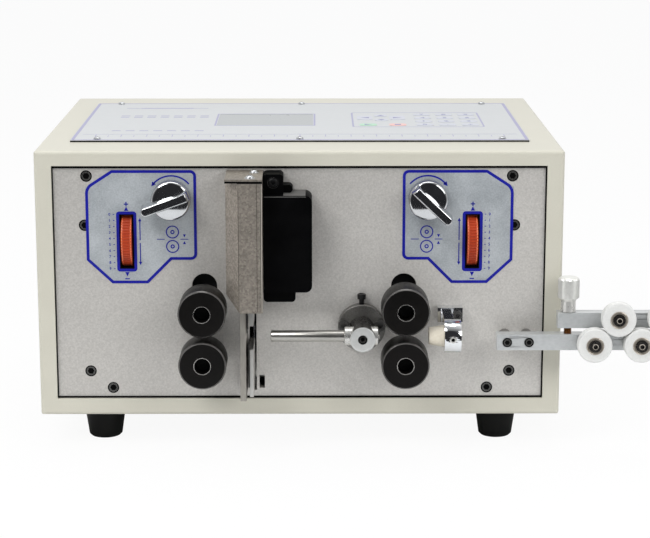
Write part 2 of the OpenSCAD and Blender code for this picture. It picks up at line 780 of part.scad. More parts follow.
// The guard's bent sheet seen from above, from its outside to its inside
guard_front = plate_y - guard_reach;
guard_bend = plate_y - 26;
guard_cut = 15;
cover_front = plate_y - cover_reach;
module cutter_guard() color(zinc) difference() {
    union() {
        translate([0, 0, guard_low]) linear_extrude(guard_high - guard_low) polygon([
            [guard_left, plate_y], [guard_left, guard_bend], [guard_left + 10, guard_front],
            [guard_right, guard_front], [guard_right, cover_front], [guard_right - guard_t, cover_front],
            [guard_right - guard_t, guard_front + guard_t], [guard_left + 11, guard_front + guard_t],
            [guard_left + guard_t, guard_bend + 0.4], [guard_left + guard_t, plate_y]]);
        block([guard_left, guard_front, guard_high - guard_t], [guard_right, plate_y, guard_high]);
    }
    translate([guard_left, plate_y, guard_low]) rotate([0, 45, 0])
        cube([guard_cut, 120, guard_cut], center = true);
}

// The cover is a deep cap, open at the back, with round corners on its free side
cover_r = 5;
cover_right = cover_left + cover_w;
module cover_outline() {
    translate([cover_left, cover_low]) square([cover_w - cover_r, cover_high - cover_low]);
    translate([cover_left, cover_low + cover_r]) square([cover_w, cover_high - cover_low - 2 * cover_r]);
    for (z = [cover_low + cover_r, cover_high - cover_r]) translate([cover_right - cover_r, z])
        circle(cover_r);
}
module cutter_cover() color(black) difference() {
    along_y(cover_front, plate_y) cover_outline();
    block([cover_left + cover_t, cover_front + cover_t, cover_low + cover_t],
        [cover_right - cover_t, plate_y + 1, cover_high - cover_t]);
}

// Two blocks stand on the machine plate, one above the cover with a lug and a screw, one below it
housing_w = 24;
head_w = 15;
housing_r = 3;
housing_low = line_z + 23.4;
housing_top = plate_top - 2.5;
housing_front = cover_front + 7;
lug_d = 5.8;
lug_z = cover_high + 3;
lug_x = cover_left + 19.1;
module cutter_housing() color("#26272a") {
    along_y(housing_front, plate_y) {
        translate([cover_left + housing_w / 2, housing_low + housing_r])
            round_rect(housing_w, 2 * housing_r, housing_r - 0.1);
        translate([cover_left, housing_low + housing_r])
            square([housing_w, cover_low - housing_low - housing_r]);
    }
    difference() {
        union() {
            along_y(housing_front, plate_y) {
                translate([cover_left + head_w / 2, housing_top - housing_r])
                    round_rect(head_w, 2 * housing_r, housing_r - 0.1);
                translate([cover_left, cover_high]) square([head_w, housing_top - cover_high - housing_r]);
            }
            block([cover_left + head_w - 3, housing_front + 7, lug_z - lug_d / 2],
                [lug_x, plate_y, lug_z + lug_d / 2]);
            rod_y(lug_x, lug_z, housing_front + 7, plate_y, lug_d);
        }
        rod_y(cover_left + head_w / 2, housing_top - 6.5, housing_front - 1, housing_front + 4,
            m4_head + 0.4);
    }
}

module blade_guide() color(zinc) difference() {
    block([guide_x, slide_front, slide_low], [guide_x + guide_t, plate_y, slide_high]);
    rod_x(wire_y, line_z, guide_x - 1, guide_x + guide_t + 1, 11);
}

// Blade outline across the wire, with its notch towards the wire line
module blade_outline() {
    polygon([[-blade_w / 2, 0], [-5, 0], [0, 4], [5, 0], [blade_w / 2, 0], [blade_w / 2, blade_h],
        [-blade_w / 2, blade_h]]);
}

module upper_blade() color(chrome) translate([holder_x - blade_t * 2 - 0.3, wire_y, line_z + blade_open])
    rotate([90, 0, 90]) linear_extrude(blade_t) blade_outline();

module lower_blade() color(chrome) translate([holder_x - blade_t, wire_y, line_z - blade_open])
    mirror([0, 0, 1]) rotate([90, 0, 90]) linear_extrude(blade_t) blade_outline();

module blade_holder(way) {
    near = line_z + way * (blade_open + 5);
    far = line_z + way * (nut_offset + nut_h / 2);
    nut_z = line_z + way * nut_offset;
    tang = [line_z + way * tang_near, line_z + way * tang_far];
    difference() {
        union() {
            block([holder_x, slide_front + 1, min(near, far)],
                [holder_x + holder_t, plate_y - 1, max(near, far)]);
            block([holder_x, plate_y - 1 - lap, min(tang[0], tang[1])],
                [holder_x + holder_t, screw_y, max(tang[0], tang[1])]);
            block([screw_x - nut_w / 2, screw_y - nut_w / 2, nut_z - nut_h / 2],
                [screw_x + nut_w / 2, screw_y + nut_w / 2, nut_z + nut_h / 2]);
            if (way > 0) block([holder_x - blade_t - 0.3, wire_y - 6, near + 8],
                [holder_x + lap, wire_y + 6, near + 25]);
        }
        translate([screw_x, screw_y, floor_z]) cylinder(d = screw_d + 2 * run, h = case_h);
    }
}

module cutter_screw() color(steel) translate([screw_x, screw_y, floor_z + 3])
    cylinder(d = screw_d, h = shelf_z + shelf_t - floor_z - 3);

module cutter_motor() color("#2a2b2e") translate([screw_x, screw_y, shelf_z + shelf_t]) difference() {
    linear_extrude(small_motor_h) round_rect(small_motor_w, small_motor_w, 4);
    for (x = [-1, 1], y = [-1, 1]) translate([x * 15.5, y * 15.5, -1]) cylinder(d = 3, h = 6);
}

// Guide tube with its pivot

module pivot_flange() color(steel) along_y(plate_y - flange_t, plate_y) translate([pivot_x, line_z])
    difference() {
    circle(d = flange_d);
    circle(d = hub_shaft_d + 2 * run);
    for (s = [-1, 1]) translate([s * flange_screw_r, flange_screw_z - line_z]) circle(d = m5_shank);
}

module swing_hub() color(steel) difference() {
    union() {
        rod_y(pivot_x, line_z, hub_front, plate_y - flange_t - slip, hub_d);
        rod_y(pivot_x, line_z, plate_y - flange_t - slip - lap, plate_back - slip, hub_shaft_d);
        rod_x(wire_y, line_z, pivot_x - 13.5, pivot_x + tube_tail - 1, sleeve_d);
    }
    rod_x(wire_y, line_z, pivot_x - 20, pivot_x + 20, tube_d);
    translate([pivot_x, hub_front + 3, line_z]) rotate([90, 0, 0]) cylinder(d = m4_shank, h = 5, $fn = 6);
}

module guide_tube() color("#8a8378") difference() {
    rod_x(wire_y, line_z, pivot_x - tube_reach, pivot_x + tube_tail, tube_d);
    rod_x(wire_y, line_z, pivot_x - tube_reach - 1, pivot_x + tube_tail + 1, tube_bore);
}

module swing_motor() color("#3a3b3f") rod_y(pivot_x, line_z, plate_back, plate_back + swing_motor_len,
    swing_motor_d);

// Wire inlet

module inlet_holder() color(chrome) difference() {
    union() {
        rod_x(wire_y, line_z, collar_x, collar_x + collar_len, collar_d);
        block([holder_block_x, plate_y - 10, line_z + 5.3],
            [holder_block_x + holder_block_w, plate_y, line_z + 16.3]);
        block([collar_x + 0.5, wire_y, line_z + 5], [collar_x + collar_len - 5, plate_y, line_z + 11.5]);
    }
    rod_x(wire_y, line_z, collar_x - 1, collar_x + collar_len + 1, nozzle_seat_d);
    rod_y(holder_screw_x, holder_screw_z, plate_y - 30, plate_y + 1, m4_shank);
    rod_y(collar_x + collar_len / 2, line_z, wire_y - 20, wire_y, m4_shank);
}

module inlet_nozzle() color(ivory) difference() {
    union() {
        translate([collar_x - nozzle_reach, wire_y, line_z]) rotate([0, 90, 0])
            cylinder(d1 = nozzle_tip_d, d2 = nozzle_wide_d, h = nozzle_reach);
        rod_x(wire_y, line_z, collar_x - lap, collar_x + collar_len, nozzle_seat_d);
    }
    rod_x(wire_y, line_z, collar_x - nozzle_reach - 1, collar_x + collar_len + 1, nozzle_bore);
}

// Straightener

function base_roller_x(i) = first_roller_x + (i - 1) * roller_pitch;
function top_roller_x(i) = first_roller_x + (i - 0.5) * roller_pitch;
top_roller_z = base_mid_z + nest_dz;

module base_bar() color(zinc) difference() {
    block([bar_start, bar_front, base_mid_z - bar_h / 2], [bar_end, bar_back, base_mid_z + bar_h / 2]);
    for (x = [thumb_x, far_thumb_x]) translate([x, bar_mid_y, base_mid_z - bar_h])
        cylinder(d = thumb_thread_d + 2 * run, h = 2 * bar_h);
    for (x = post_x) {
        rod_y(x, base_mid_z, bar_front - 1, bar_back + 1, m4_shank);
        rod_y(x, base_mid_z, bar_front - 1, bar_front + m4_shank - 0.4, m4_head);
    }
    for (i = [1:3]) rod_y(base_roller_x(i), base_mid_z, bar_front - 1, bar_back + 1, axle_d4);
}

module bar_posts() color(zinc) for (x = post_x) ring_y(x, base_mid_z, bar_back, plate_y, post_d, m4_shank);

// An axle: socket head, journal in the roller, spacer against the bar, thread in the bar
module axle(x, z) {
    face = wire_y - guide_roller_w / 2;
    difference() {
        union() {
            rod_y(x, z, face - 2.4, face - slip, 8.5);
            rod_y(x, z, face - slip - lap, wire_y + guide_roller_w / 2 + slip + lap, 6);
            rod_y(x, z, wire_y + guide_roller_w / 2 + slip, bar_front, 9);
            rod_y(x, z, bar_front - lap, bar_back, axle_d4);
        }
        translate([x, face - 0.6, z]) rotate([90, 0, 0]) cylinder(d = 3.6, h = 4, $fn = 6);
    }
}

module base_axles() color(steel) for (i = [1:3]) axle(base_roller_x(i), base_mid_z);

module top_axles() color(steel) for (i = [1:2]) axle(top_roller_x(i), top_roller_z);

// A roller with a shallow groove for the wire
module guide_roller(x, z) color(nylon) translate([x, wire_y, z]) rotate([90, 0, 0]) rotate_extrude()
    polygon([[3 + run, -guide_roller_w / 2], [guide_roller_d / 2 - 0.6, -guide_roller_w / 2],
        [guide_roller_d / 2, 0.6 - guide_roller_w / 2],
        [guide_roller_d / 2, -2], [guide_roller_d / 2 - 1.5, 0], [guide_roller_d / 2, 2],
            [guide_roller_d / 2, guide_roller_w / 2 - 0.6],
        [guide_roller_d / 2 - 0.6, guide_roller_w / 2], [3 + run, guide_roller_w / 2]]);

module top_bar() color(zinc) difference() {
    block([top_start, bar_front, top_mid_z - bar_h / 2 + 0.2],
        [bar_end, bar_back, top_mid_z + bar_h / 2 - 0.2]);
    for (x = [thumb_x, far_thumb_x]) translate([x, bar_mid_y, top_mid_z - bar_h])
        cylinder(d = thumb_thread_d + 2 * run, h = 2 * bar_h);
    for (i = [1:2]) rod_y(top_roller_x(i), top_roller_z, bar_front - 1, bar_back + 1, axle_d4);
}

module thumbscrew(x) color("#b8bcc2") translate([x, bar_mid_y, 0]) {
    foot = base_mid_z - bar_h / 2 + 1;
    seat = top_mid_z + bar_h / 2 - 0.2 + run;
    translate([0, 0, foot]) cylinder(d = thumb_thread_d, h = seat - foot + lap);
    translate([0, 0, seat]) cylinder(d = thumb_neck_d, h = thumb_neck_h + lap);
    translate([0, 0, seat + thumb_neck_h]) linear_extrude(thumb_head_h - 1) difference() {
        circle(d = thumb_d);
        for (i = [0:35]) rotate(i * 10) translate([thumb_d / 2, 0]) circle(d = 0.8, $fn = 6);
    }
    translate([0, 0, seat + thumb_neck_h + thumb_head_h - 1 - lap])
        cylinder(d1 = thumb_d - 1.6, d2 = thumb_d - 3.4, h = 1 + lap);
}

// Nodes

module left_lower_roller() color(black) feed_roller(left_roller_x, lower_z);
module left_upper_roller() color(black) feed_roller(left_roller_x, upper_z(-1));
module right_lower_roller() color(black) feed_roller(right_roller_x, lower_z);
module right_upper_roller() color(black) feed_roller(right_roller_x, upper_z(1));
module left_lower_shaft() color(steel) lower_shaft(-1);
module left_upper_shaft() color(steel) upper_shaft(-1);
module right_lower_shaft() color(steel) lower_shaft(1);
module right_upper_shaft() color(steel) upper_shaft(1);

module left_carriage() color("#3b3c40") carriage(-1);
module right_carriage() color("#3b3c40") carriage(1);
module left_knob() color(chrome) knob(-1);
module right_knob() color(chrome) knob(1);
module left_crank() color(steel) crank(-1);
module right_crank() color(steel) crank(1);
module left_gap_wheel() color(orange) gap_wheel(-1);
module right_gap_wheel() color(orange) gap_wheel(1);
module upper_blade_holder() color(zinc) blade_holder(1);
module lower_blade_holder() color(zinc) blade_holder(-1);
module base_roller_1() guide_roller(base_roller_x(1), base_mid_z);
module base_roller_2() guide_roller(base_roller_x(2), base_mid_z);
module base_roller_3() guide_roller(base_roller_x(3), base_mid_z);
module top_roller_1() guide_roller(top_roller_x(1), top_roller_z);
module top_roller_2() guide_roller(top_roller_x(2), top_roller_z);
module left_thumbscrew() thumbscrew(thumb_x);
module right_thumbscrew() thumbscrew(far_thumb_x);

translate([-origin_x, -origin_y, 0]) {
    case_shell();
    rear_panel();
    feet();
    control_panel();
    display_window();
    power_inlet();
    power_rocker();
    power_supply();
    control_board();
    front_plate();
    dial_plates();
    socket_screws();
    mechanism_frame();
    shaft_bearings();
    feed_motors();
    left_lower_roller();
    left_lower_shaft();
    left_upper_roller();
    left_upper_shaft();
    right_lower_roller();
    right_lower_shaft();
    right_upper_roller();
    right_upper_shaft();
    left_carriage();
    right_carriage();
    left_knob();
    left_crank();
    right_knob();
    right_crank();
    left_gap_wheel();
    right_gap_wheel();
    gap_wheel_brackets();
    cutter_guard();
    cutter_cover();
    cutter_housing();
    blade_guide();
    upper_blade();
    lower_blade();
    upper_blade_holder();
    lower_blade_holder();
    cutter_screw();
    cutter_motor();
    pivot_flange();
    swing_hub();
    guide_tube();
    swing_motor();
    inlet_holder();
    inlet_nozzle();
    base_bar();
    bar_posts();
    base_axles();
    base_roller_1();
    base_roller_2();
    base_roller_3();
    top_bar();
    top_axles();
    top_roller_1();
    top_roller_2();
    left_thumbscrew();
    right_thumbscrew();
}
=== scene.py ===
import math

import bmesh
import bpy
from mathutils import Matrix, Vector


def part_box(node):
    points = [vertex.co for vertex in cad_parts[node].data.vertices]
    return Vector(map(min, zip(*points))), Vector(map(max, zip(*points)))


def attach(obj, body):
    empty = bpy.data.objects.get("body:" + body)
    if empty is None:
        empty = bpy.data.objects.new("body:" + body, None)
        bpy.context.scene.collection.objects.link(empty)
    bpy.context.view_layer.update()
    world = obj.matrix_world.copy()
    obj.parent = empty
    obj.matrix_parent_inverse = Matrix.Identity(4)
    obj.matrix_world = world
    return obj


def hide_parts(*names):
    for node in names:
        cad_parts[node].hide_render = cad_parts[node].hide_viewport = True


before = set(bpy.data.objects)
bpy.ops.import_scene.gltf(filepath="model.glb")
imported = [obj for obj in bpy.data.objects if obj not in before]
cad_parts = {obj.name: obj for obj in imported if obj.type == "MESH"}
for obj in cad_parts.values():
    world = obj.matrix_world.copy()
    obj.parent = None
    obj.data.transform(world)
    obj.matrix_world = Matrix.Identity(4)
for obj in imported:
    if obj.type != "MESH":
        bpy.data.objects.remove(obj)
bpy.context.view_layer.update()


# Rubber feet
# Four tapered feet of black moulded rubber, each held to the floor of the case by one screw.
# The rubber is matt and slightly dusty, with a fine grain left by the mould.

def tone(red, green, blue):
    """A colour as a paint card gives it, 0 to 255, in the light values that a shader takes."""
    shares = [level / 255 for level in (red, green, blue)]
    light = [s / 12.92 if s < 11 / 255 else ((s + 0.055) / 1.055) ** 2.4 for s in shares]
    return (*light, 1.0)


def surface(name, darker, lighter, grain, matt, ripple, metal=0.0, shine=0.5,
            stretch=(1, 1, 1), drift=None):
    """A finish that drifts between two tones and two degrees of gloss, grain to the metre."""
    ripple_depth = 0.0002
    material = bpy.data.materials.new(name)
    material.use_nodes = True
    tree = material.node_tree
    shader = tree.nodes["Principled BSDF"]
    shader.inputs["Metallic"].default_value = metal
    shader.inputs["Specular IOR Level"].default_value = shine
    place = tree.nodes.new("ShaderNodeTexCoord")
    drawn = tree.nodes.new("ShaderNodeMapping")
    drawn.inputs["Scale"].default_value = stretch
    fine = tree.nodes.new("ShaderNodeTexNoise")
    fine.inputs["Scale"].default_value = grain
    fine.inputs["Detail"].default_value = 5
    broad = tree.nodes.new("ShaderNodeTexNoise")
    broad.inputs["Scale"].default_value = drift or grain / 18
    broad.inputs["Detail"].default_value = 3
    blend = tree.nodes.new("ShaderNodeMath")
    blend.operation = "ADD"
    half = tree.nodes.new("ShaderNodeMath")
    half.operation = "MULTIPLY"
    half.inputs[1].default_value = 0.5
    tones = tree.nodes.new("ShaderNodeValToRGB")
    tones.color_ramp.elements[0].position = 0.36
    tones.color_ramp.elements[0].color = darker
    tones.color_ramp.elements[1].position = 0.64
    tones.color_ramp.elements[1].color = lighter
    gloss = tree.nodes.new("ShaderNodeMapRange")
    gloss.inputs["From Min"].default_value = 0.35
    gloss.inputs["From Max"].default_value = 0.65
    gloss.inputs["To Min"].default_value = matt[0]
    gloss.inputs["To Max"].default_value = matt[1]
    bump = tree.nodes.new("ShaderNodeBump")
    bump.inputs["Strength"].default_value = ripple
    bump.inputs["Distance"].default_value = ripple_depth
    join = tree.links.new
    join(place.outputs["Object"], drawn.inputs["Vector"])
    join(drawn.outputs["Vector"], fine.inputs["Vector"])
    join(drawn.outputs["Vector"], broad.inputs["Vector"])
    join(fine.outputs["Fac"], blend.inputs[0])
    join(broad.outputs["Fac"], blend.inputs[1])
    join(blend.outputs[0], half.inputs[0])
    join(half.outputs[0], tones.inputs["Fac"])
    join(tones.outputs["Color"], shader.inputs["Base Color"])
    join(half.outputs[0], gloss.inputs["Value"])
    join(gloss.outputs["Result"], shader.inputs["Roughness"])
    join(fine.outputs["Fac"], bump.inputs["Height"])
    join(bump.outputs["Normal"], shader.inputs["Normal"])
    return material


def dress(material, *names, edge=0.0):
    """Gives CAD nodes their finish, and eases their sharp edges by that many millimetres."""
    for name in names:
        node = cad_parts[name]
        node.data.materials.clear()
        node.data.materials.append(material)
        if edge:
            weld = node.modifiers.new("Weld", "WELD")
            weld.merge_threshold = 1e-6
            ease = node.modifiers.new("Eased edges", "BEVEL")
            ease.width = edge / 1000
            ease.segments = 2
            ease.limit_method = "ANGLE"
            ease.angle_limit = math.radians(32)
            ease.harden_normals = True


foot_rubber = surface("foot_rubber", tone(7, 8, 7), tone(14, 15, 13),
                      grain=900, matt=(0.55, 0.7), ripple=0.25, shine=0.2)
dress(foot_rubber, "feet", edge=0.8)


# Case shell
# A folded steel shell with a wide turned-in rim at the front, powder coated in a warm cream.
# The coat has the faint orange peel of baked powder.

case_coat = surface("case_coat", tone(197, 194, 180), tone(201, 198, 184),
                    grain=800, matt=(0.38, 0.44), ripple=0.1)
dress(case_coat, "case_shell")


# Rear panel
# A coated steel sheet with vent slots, screwed into the back of the shell by pan head screws.
# The screws are plated and have a cross recess.

# Every piece is drawn in millimetres from the ground under the middle of the case's front.
case_low, case_high = (Vector(corner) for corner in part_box("case_shell"))
case_front_middle = ((case_low.x + case_high.x) / 2, case_low.y, 0)
IN_ROW = Matrix.Translation(case_front_middle) @ Matrix.Scale(0.001, 4)


def node_box(name):
    """A CAD node's two far corners, in the millimetres that the pieces are drawn in."""
    return [IN_ROW.inverted() @ Vector(corner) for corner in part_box(name)]


def turned(profile, steps):
    """A turned shape: a profile of radius and height, spun about its own upright axis."""
    shape = bmesh.new()
    points = [shape.verts.new((radius, 0, height)) for radius, height in profile]
    lines = [shape.edges.new(pair) for pair in zip(points, points[1:])]
    bmesh.ops.spin(shape, geom=points + lines, cent=(0, 0, 0), axis=(0, 0, 1),
                   angle=math.tau, steps=steps, use_merge=True)
    bmesh.ops.remove_doubles(shape, verts=shape.verts, dist=1e-4)
    return shape


def block(low, high, ease=0.0):
    """A block between two corners, its edges eased."""
    low, high = Vector(low), Vector(high)
    shape = bmesh.new()
    size = Matrix.LocRotScale((low + high) / 2, None, high - low)
    bmesh.ops.create_cube(shape, size=1, matrix=size)
    if ease:
        bmesh.ops.bevel(shape, geom=shape.edges[:], offset=ease, affect="EDGES",
                        segments=2, profile=0.5, material=-1)
    return shape


def put(whole, shape, place=None, skin=0):
    """Adds a shape to a piece, at its place and with that one of the piece's finishes."""
    if place is not None:
        bmesh.ops.transform(shape, matrix=place, verts=shape.verts)
    bmesh.ops.recalc_face_normals(shape, faces=shape.faces)
    for face in shape.faces:
        face.material_index = skin
    carrier = bpy.data.meshes.new("carrier")
    shape.to_mesh(carrier)
    shape.free()
    whole.from_mesh(carrier)
    bpy.data.meshes.remove(carrier)


def settle(whole, name, body, slot, *finishes, hides=(), sharp=34):
    """Moves a piece from the case's millimetres into the row and fixes it to its body."""
    bmesh.ops.transform(whole, matrix=IN_ROW, verts=whole.verts)
    mesh = bpy.data.meshes.new(name)
    whole.to_mesh(mesh)
    whole.free()
    mesh.shade_smooth()
    mesh.set_sharp_from_angle(angle=math.radians(sharp))
    for finish in finishes:
        mesh.materials.append(finish)
    piece = bpy.data.objects.new(name, mesh)
    bpy.context.scene.collection.objects.link(piece)
    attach(piece, body)
    if hides:
        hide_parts(*hides)


def backward(x, y, z):
    """Lays a shape's upright axis towards the back of the machine."""
    return Matrix.Translation((x, y, z)) @ Matrix.Rotation(-math.pi / 2, 4, "X")


def pan_screw(whole, place, width, turn):
    """A pan head screw with a dark cross recess."""
    r = width / 2
    head = [(0, r * 0.62), (r * 0.45, r * 0.58), (r * 0.82, r * 0.4), (r, r * 0.12), (r, -0.3)]
    put(whole, turned(head, 24), place)
    for angle in (turn, turn + math.pi / 2):
        recess = block((-r * 0.5, -r * 0.1, r * 0.3), (r * 0.5, r * 0.1, r * 0.625))
        put(whole, recess, place @ Matrix.Rotation(angle, 4, "Z"), 1)


screw_plate = surface("screw_plate", tone(176, 178, 180), tone(200, 202, 204),
                      grain=1500, matt=(0.22, 0.34), ripple=0.1, metal=1.0)
recess_shade = surface("recess_shade", tone(4, 4, 4), tone(9, 9, 9),
                       grain=1500, matt=(0.6, 0.7), ripple=0.1, shine=0.05)
dress(case_coat, "rear_panel")
rear_face = node_box("rear_panel")[1].y
rear_head = 6.4
rear_spots = [(x, z) for z in (42, 216) for x in (-184, 0, 184)] + [(-184, 129), (184, 129)]
rear_screws = bmesh.new()
for n, (x, z) in enumerate(rear_spots):
    pan_screw(rear_screws, backward(x, rear_face, z), rear_head, n * 0.7)
settle(rear_screws, "rear_screws", "machine", "zinc_steel", screw_plate, recess_shade)


# Mains inlet
# A black moulded appliance inlet and a rocker switch, clipped into the rear panel.
# Glass-filled plastic with a fine spark-eroded texture.

inlet_plastic = surface("inlet_plastic", tone(20, 20, 21), tone(30, 30, 31),
                        grain=2200, matt=(0.42, 0.55), ripple=0.3)
rocker_plastic = surface("rocker_plastic", tone(24, 24, 25), tone(32, 32, 33),
                         grain=1800, matt=(0.25, 0.35), ripple=0.15)
dress(inlet_plastic, "power_inlet")
dress(rocker_plastic, "power_rocker", edge=0.4)


# Control panel
# A flat plate under a printed polyester film, screwed to the top of the case by six plated screws.
# The film is a cool white with a pale violet border, a rule along its front and embossed keys.

film_white = surface("film_white", tone(189, 191, 192), tone(196, 198, 199),
                     grain=2600, matt=(0.42, 0.52), ripple=0.15)
violet_ink = surface("violet_ink", tone(150, 148, 178), tone(160, 158, 187),
                     grain=1200, matt=(0.4, 0.5), ripple=0.1)
key_grey = surface("key_grey", tone(188, 190, 199), tone(195, 197, 206),
                   grain=1600, matt=(0.4, 0.5), ripple=0.12)
key_green = surface("key_green", tone(166, 204, 178), tone(176, 212, 187),
                    grain=1600, matt=(0.4, 0.5), ripple=0.12)
key_red = surface("key_red", tone(222, 178, 172), tone(229, 187, 181),
                  grain=1600, matt=(0.4, 0.5), ripple=0.12)
figure_ink = surface("figure_ink", tone(120, 122, 160), tone(134, 136, 172),
                     grain=1600, matt=(0.4, 0.5), ripple=0.1)
display_glass = surface("display_glass", tone(150, 154, 155), tone(156, 160, 161),
                        grain=90, matt=(0.27, 0.31), ripple=0.0)
dress(film_white, "control_panel", edge=0.3)
dress(display_glass, "display_window")
panel_top = 233.5
every_corner = (0, 1, 2, 3)


def upward(x, y, z):
    """Keeps a shape's axis upright."""
    return Matrix.Translation((x, y, z))


def patch(corners, rounded=(), radius=0.0, steps=5):
    """A flat printed patch with some of its corners rounded."""
    shape = bmesh.new()
    points = [shape.verts.new((x, y, 0)) for x, y in corners]
    shape.faces.new(points)
    if rounded:
        bmesh.ops.bevel(shape, geom=[points[n] for n in rounded], offset=radius,
                        affect="VERTICES", segments=steps, profile=0.5, material=-1)
    return shape


def outline(corners, width, rounded=(), radius=0.0):
    """A closed flat line on the inside of these corners, with some of them rounded."""
    shape = patch(corners, rounded, radius, steps=6)
    sheet = shape.faces[:][0]
    sheet.normal_update()
    bmesh.ops.inset_region(shape, faces=[sheet], thickness=width,
                           use_even_offset=True, use_boundary=True)
    bmesh.ops.delete(shape, geom=[sheet], context="FACES")
    return shape


def box_corners(x0, y0, x1, y1):
    """The corners of a rectangle between two of them, all in order."""
    return [(x0, y0), (x1, y0), (x1, y1), (x0, y1)]


def bar_corners(half_wide, half_high):
    """The corners of a rectangle about the origin."""
    return box_corners(-half_wide, -half_high, half_wide, half_high)


def figures(text, size):
    """Plain printed figures, centred on the origin."""
    line = bpy.data.curves.new("figures", "FONT")
    line.body = text
    line.size = size
    line.offset = size * 0.016
    line.align_x = "CENTER"
    line.align_y = "CENTER"
    line.resolution_u = 2
    holder = bpy.data.objects.new("figures", line)
    bpy.context.scene.collection.objects.link(holder)
    bpy.context.view_layer.update()
    flat = bpy.data.meshes.new_from_object(holder)
    shape = bmesh.new()
    shape.from_mesh(flat)
    bpy.data.objects.remove(holder)
    bpy.data.curves.remove(line)
    bpy.data.meshes.remove(flat)
    return shape


def arrow(size, turn):
    """A flat printed arrow head that points that many degrees round from the right."""
    half = size / 2
    shape = patch([(-half, -half), (half, 0), (-half, half)])
    round_about = Matrix.Rotation(math.radians(turn), 3, "Z")
    bmesh.ops.rotate(shape, verts=shape.verts, cent=(0, 0, 0), matrix=round_about)
    return shape


def ink(whole, shape, place, film=0.06, skin=0):
    """Prints a flat shape: gives it the thickness of ink and adds it to the print."""
    grown = bmesh.ops.extrude_face_region(shape, geom=shape.faces[:])
    raised = [v for v in grown["geom"] if isinstance(v, bmesh.types.BMVert)]
    bmesh.ops.translate(shape, verts=raised, vec=(0, 0, film))
    put(whole, shape, place, skin)


panel_print = bmesh.new()
on_panel = upward(0, 0, panel_top)
border = box_corners(-177, 44.5, 177, 255.5)
display_frame = box_corners(-70, 121, 12, 190)
key_field = box_corners(42, 113, 149, 197)
ink(panel_print, outline(border, 2.4, every_corner, 2), on_panel)
ink(panel_print, outline(display_frame, 1.4), on_panel)
ink(panel_print, outline(key_field, 1.4, every_corner, 3), on_panel)
rule_y, tick_y, short_tick, long_tick = 74, 62, 6, 10
ink(panel_print, patch(box_corners(-171, rule_y, 171, rule_y + 0.7)), on_panel)
for n in range(33):
    x = -160 + 10 * n
    tick_end = tick_y + (short_tick if n % 2 else long_tick)
    ink(panel_print, patch(box_corners(x - 0.35, tick_y, x + 0.35, tick_end)), on_panel)
dash_wide, dash_deep = 7, 3
for row in (92, 168, 176):
    for n in range(7):
        x = -150 + 11 * n
        ink(panel_print, patch(box_corners(x, row, x + dash_wide, row + dash_deep)), on_panel)
wire_sleeve = box_corners(-138, 222, -92, 226)
ink(panel_print, patch(wire_sleeve, every_corner, 1.9), on_panel)
for start in (-150, -92):
    ink(panel_print, patch(box_corners(start, 223.2, start + 12, 224.8)), on_panel)
settle(panel_print, "panel_print", "machine", "control_film", violet_ink)
# A black strip under the panel's front edge: painted shade, the shadow below that edge.
panel_edge_shade = bmesh.new()
put(panel_edge_shade, block((-177.4, 43.7, panel_top - 1.5), (177.4, 44.1, panel_top - 0.4), 0.1))
settle(panel_edge_shade, "panel_edge_shade", "machine", "control_film", recess_shade)

panel_keys = bmesh.new()
key_marks = bmesh.new()
key_rise = 0.35


def key(x, y, wide, deep, skin, mark):
    """A rounded key embossed in the film, with its figure on top."""
    corners = box_corners(x - wide / 2, y - deep / 2, x + wide / 2, y + deep / 2)
    cap = patch(corners, every_corner, min(wide, deep) * 0.35)
    ink(panel_keys, cap, on_panel, key_rise, skin)
    ink(key_marks, mark, upward(x, y, panel_top + key_rise), 0.05)


grey, green, red = 0, 1, 2
key(53, 164, 13, 22, grey, arrow(7, 180))
key(80, 164, 13, 22, grey, arrow(7, 0))
key(66.5, 177, 11, 11, grey, arrow(6, 90))
key(66.5, 152, 11, 11, grey, arrow(6, -90))
key(55, 125, 14, 11, green, arrow(6, 0))
key(79, 125, 14, 11, red, patch(bar_corners(2.5, 2.5)))
for n, figure in enumerate("7894561230.+"):
    key(101 + 18.5 * (n % 3), 183 - 19.4 * (n // 3), 14, 11, grey, figures(figure, 8))
settle(panel_keys, "panel_keys", "machine", "control_film", key_grey, key_green, key_red)
settle(key_marks, "key_marks", "machine", "control_film", figure_ink)

panel_screws = bmesh.new()
panel_head = [(0, 1.72), (2.06, 1.72), (2.5, 1.4), (2.86, 0.95), (2.9, 0.3), (2.9, -0.1)]
panel_spots = [(x, y) for y in (49, 251) for x in (-157, 0, 157)]
for n, (x, y) in enumerate(panel_spots):
    head_place = upward(x, y, panel_top)
    put(panel_screws, turned(panel_head, 28), head_place)
    for quarter in (0, 1):
        cross = block((-1.5, -0.28, 1.5), (1.5, 0.28, 1.74))
        angle = n * 0.9 + quarter * math.pi / 2
        put(panel_screws, cross, head_place @ Matrix.Rotation(angle, 4, "Z"), 1)
settle(panel_screws, "panel_screws", "machine", "zinc_steel", screw_plate, recess_shade)


# Machine plate
# An 8 mm aluminium plate that carries the mechanism, milled and bead blasted to a satin silver.
# Eight black socket screws hold it, and a thin black strip of painted shade lines the joint to the
# case's rim.

def frontward(x, y, z):
    """Lays a shape's upright axis towards the front of the machine."""
    return Matrix.Translation((x, y, z)) @ Matrix.Rotation(math.pi / 2, 4, "X")


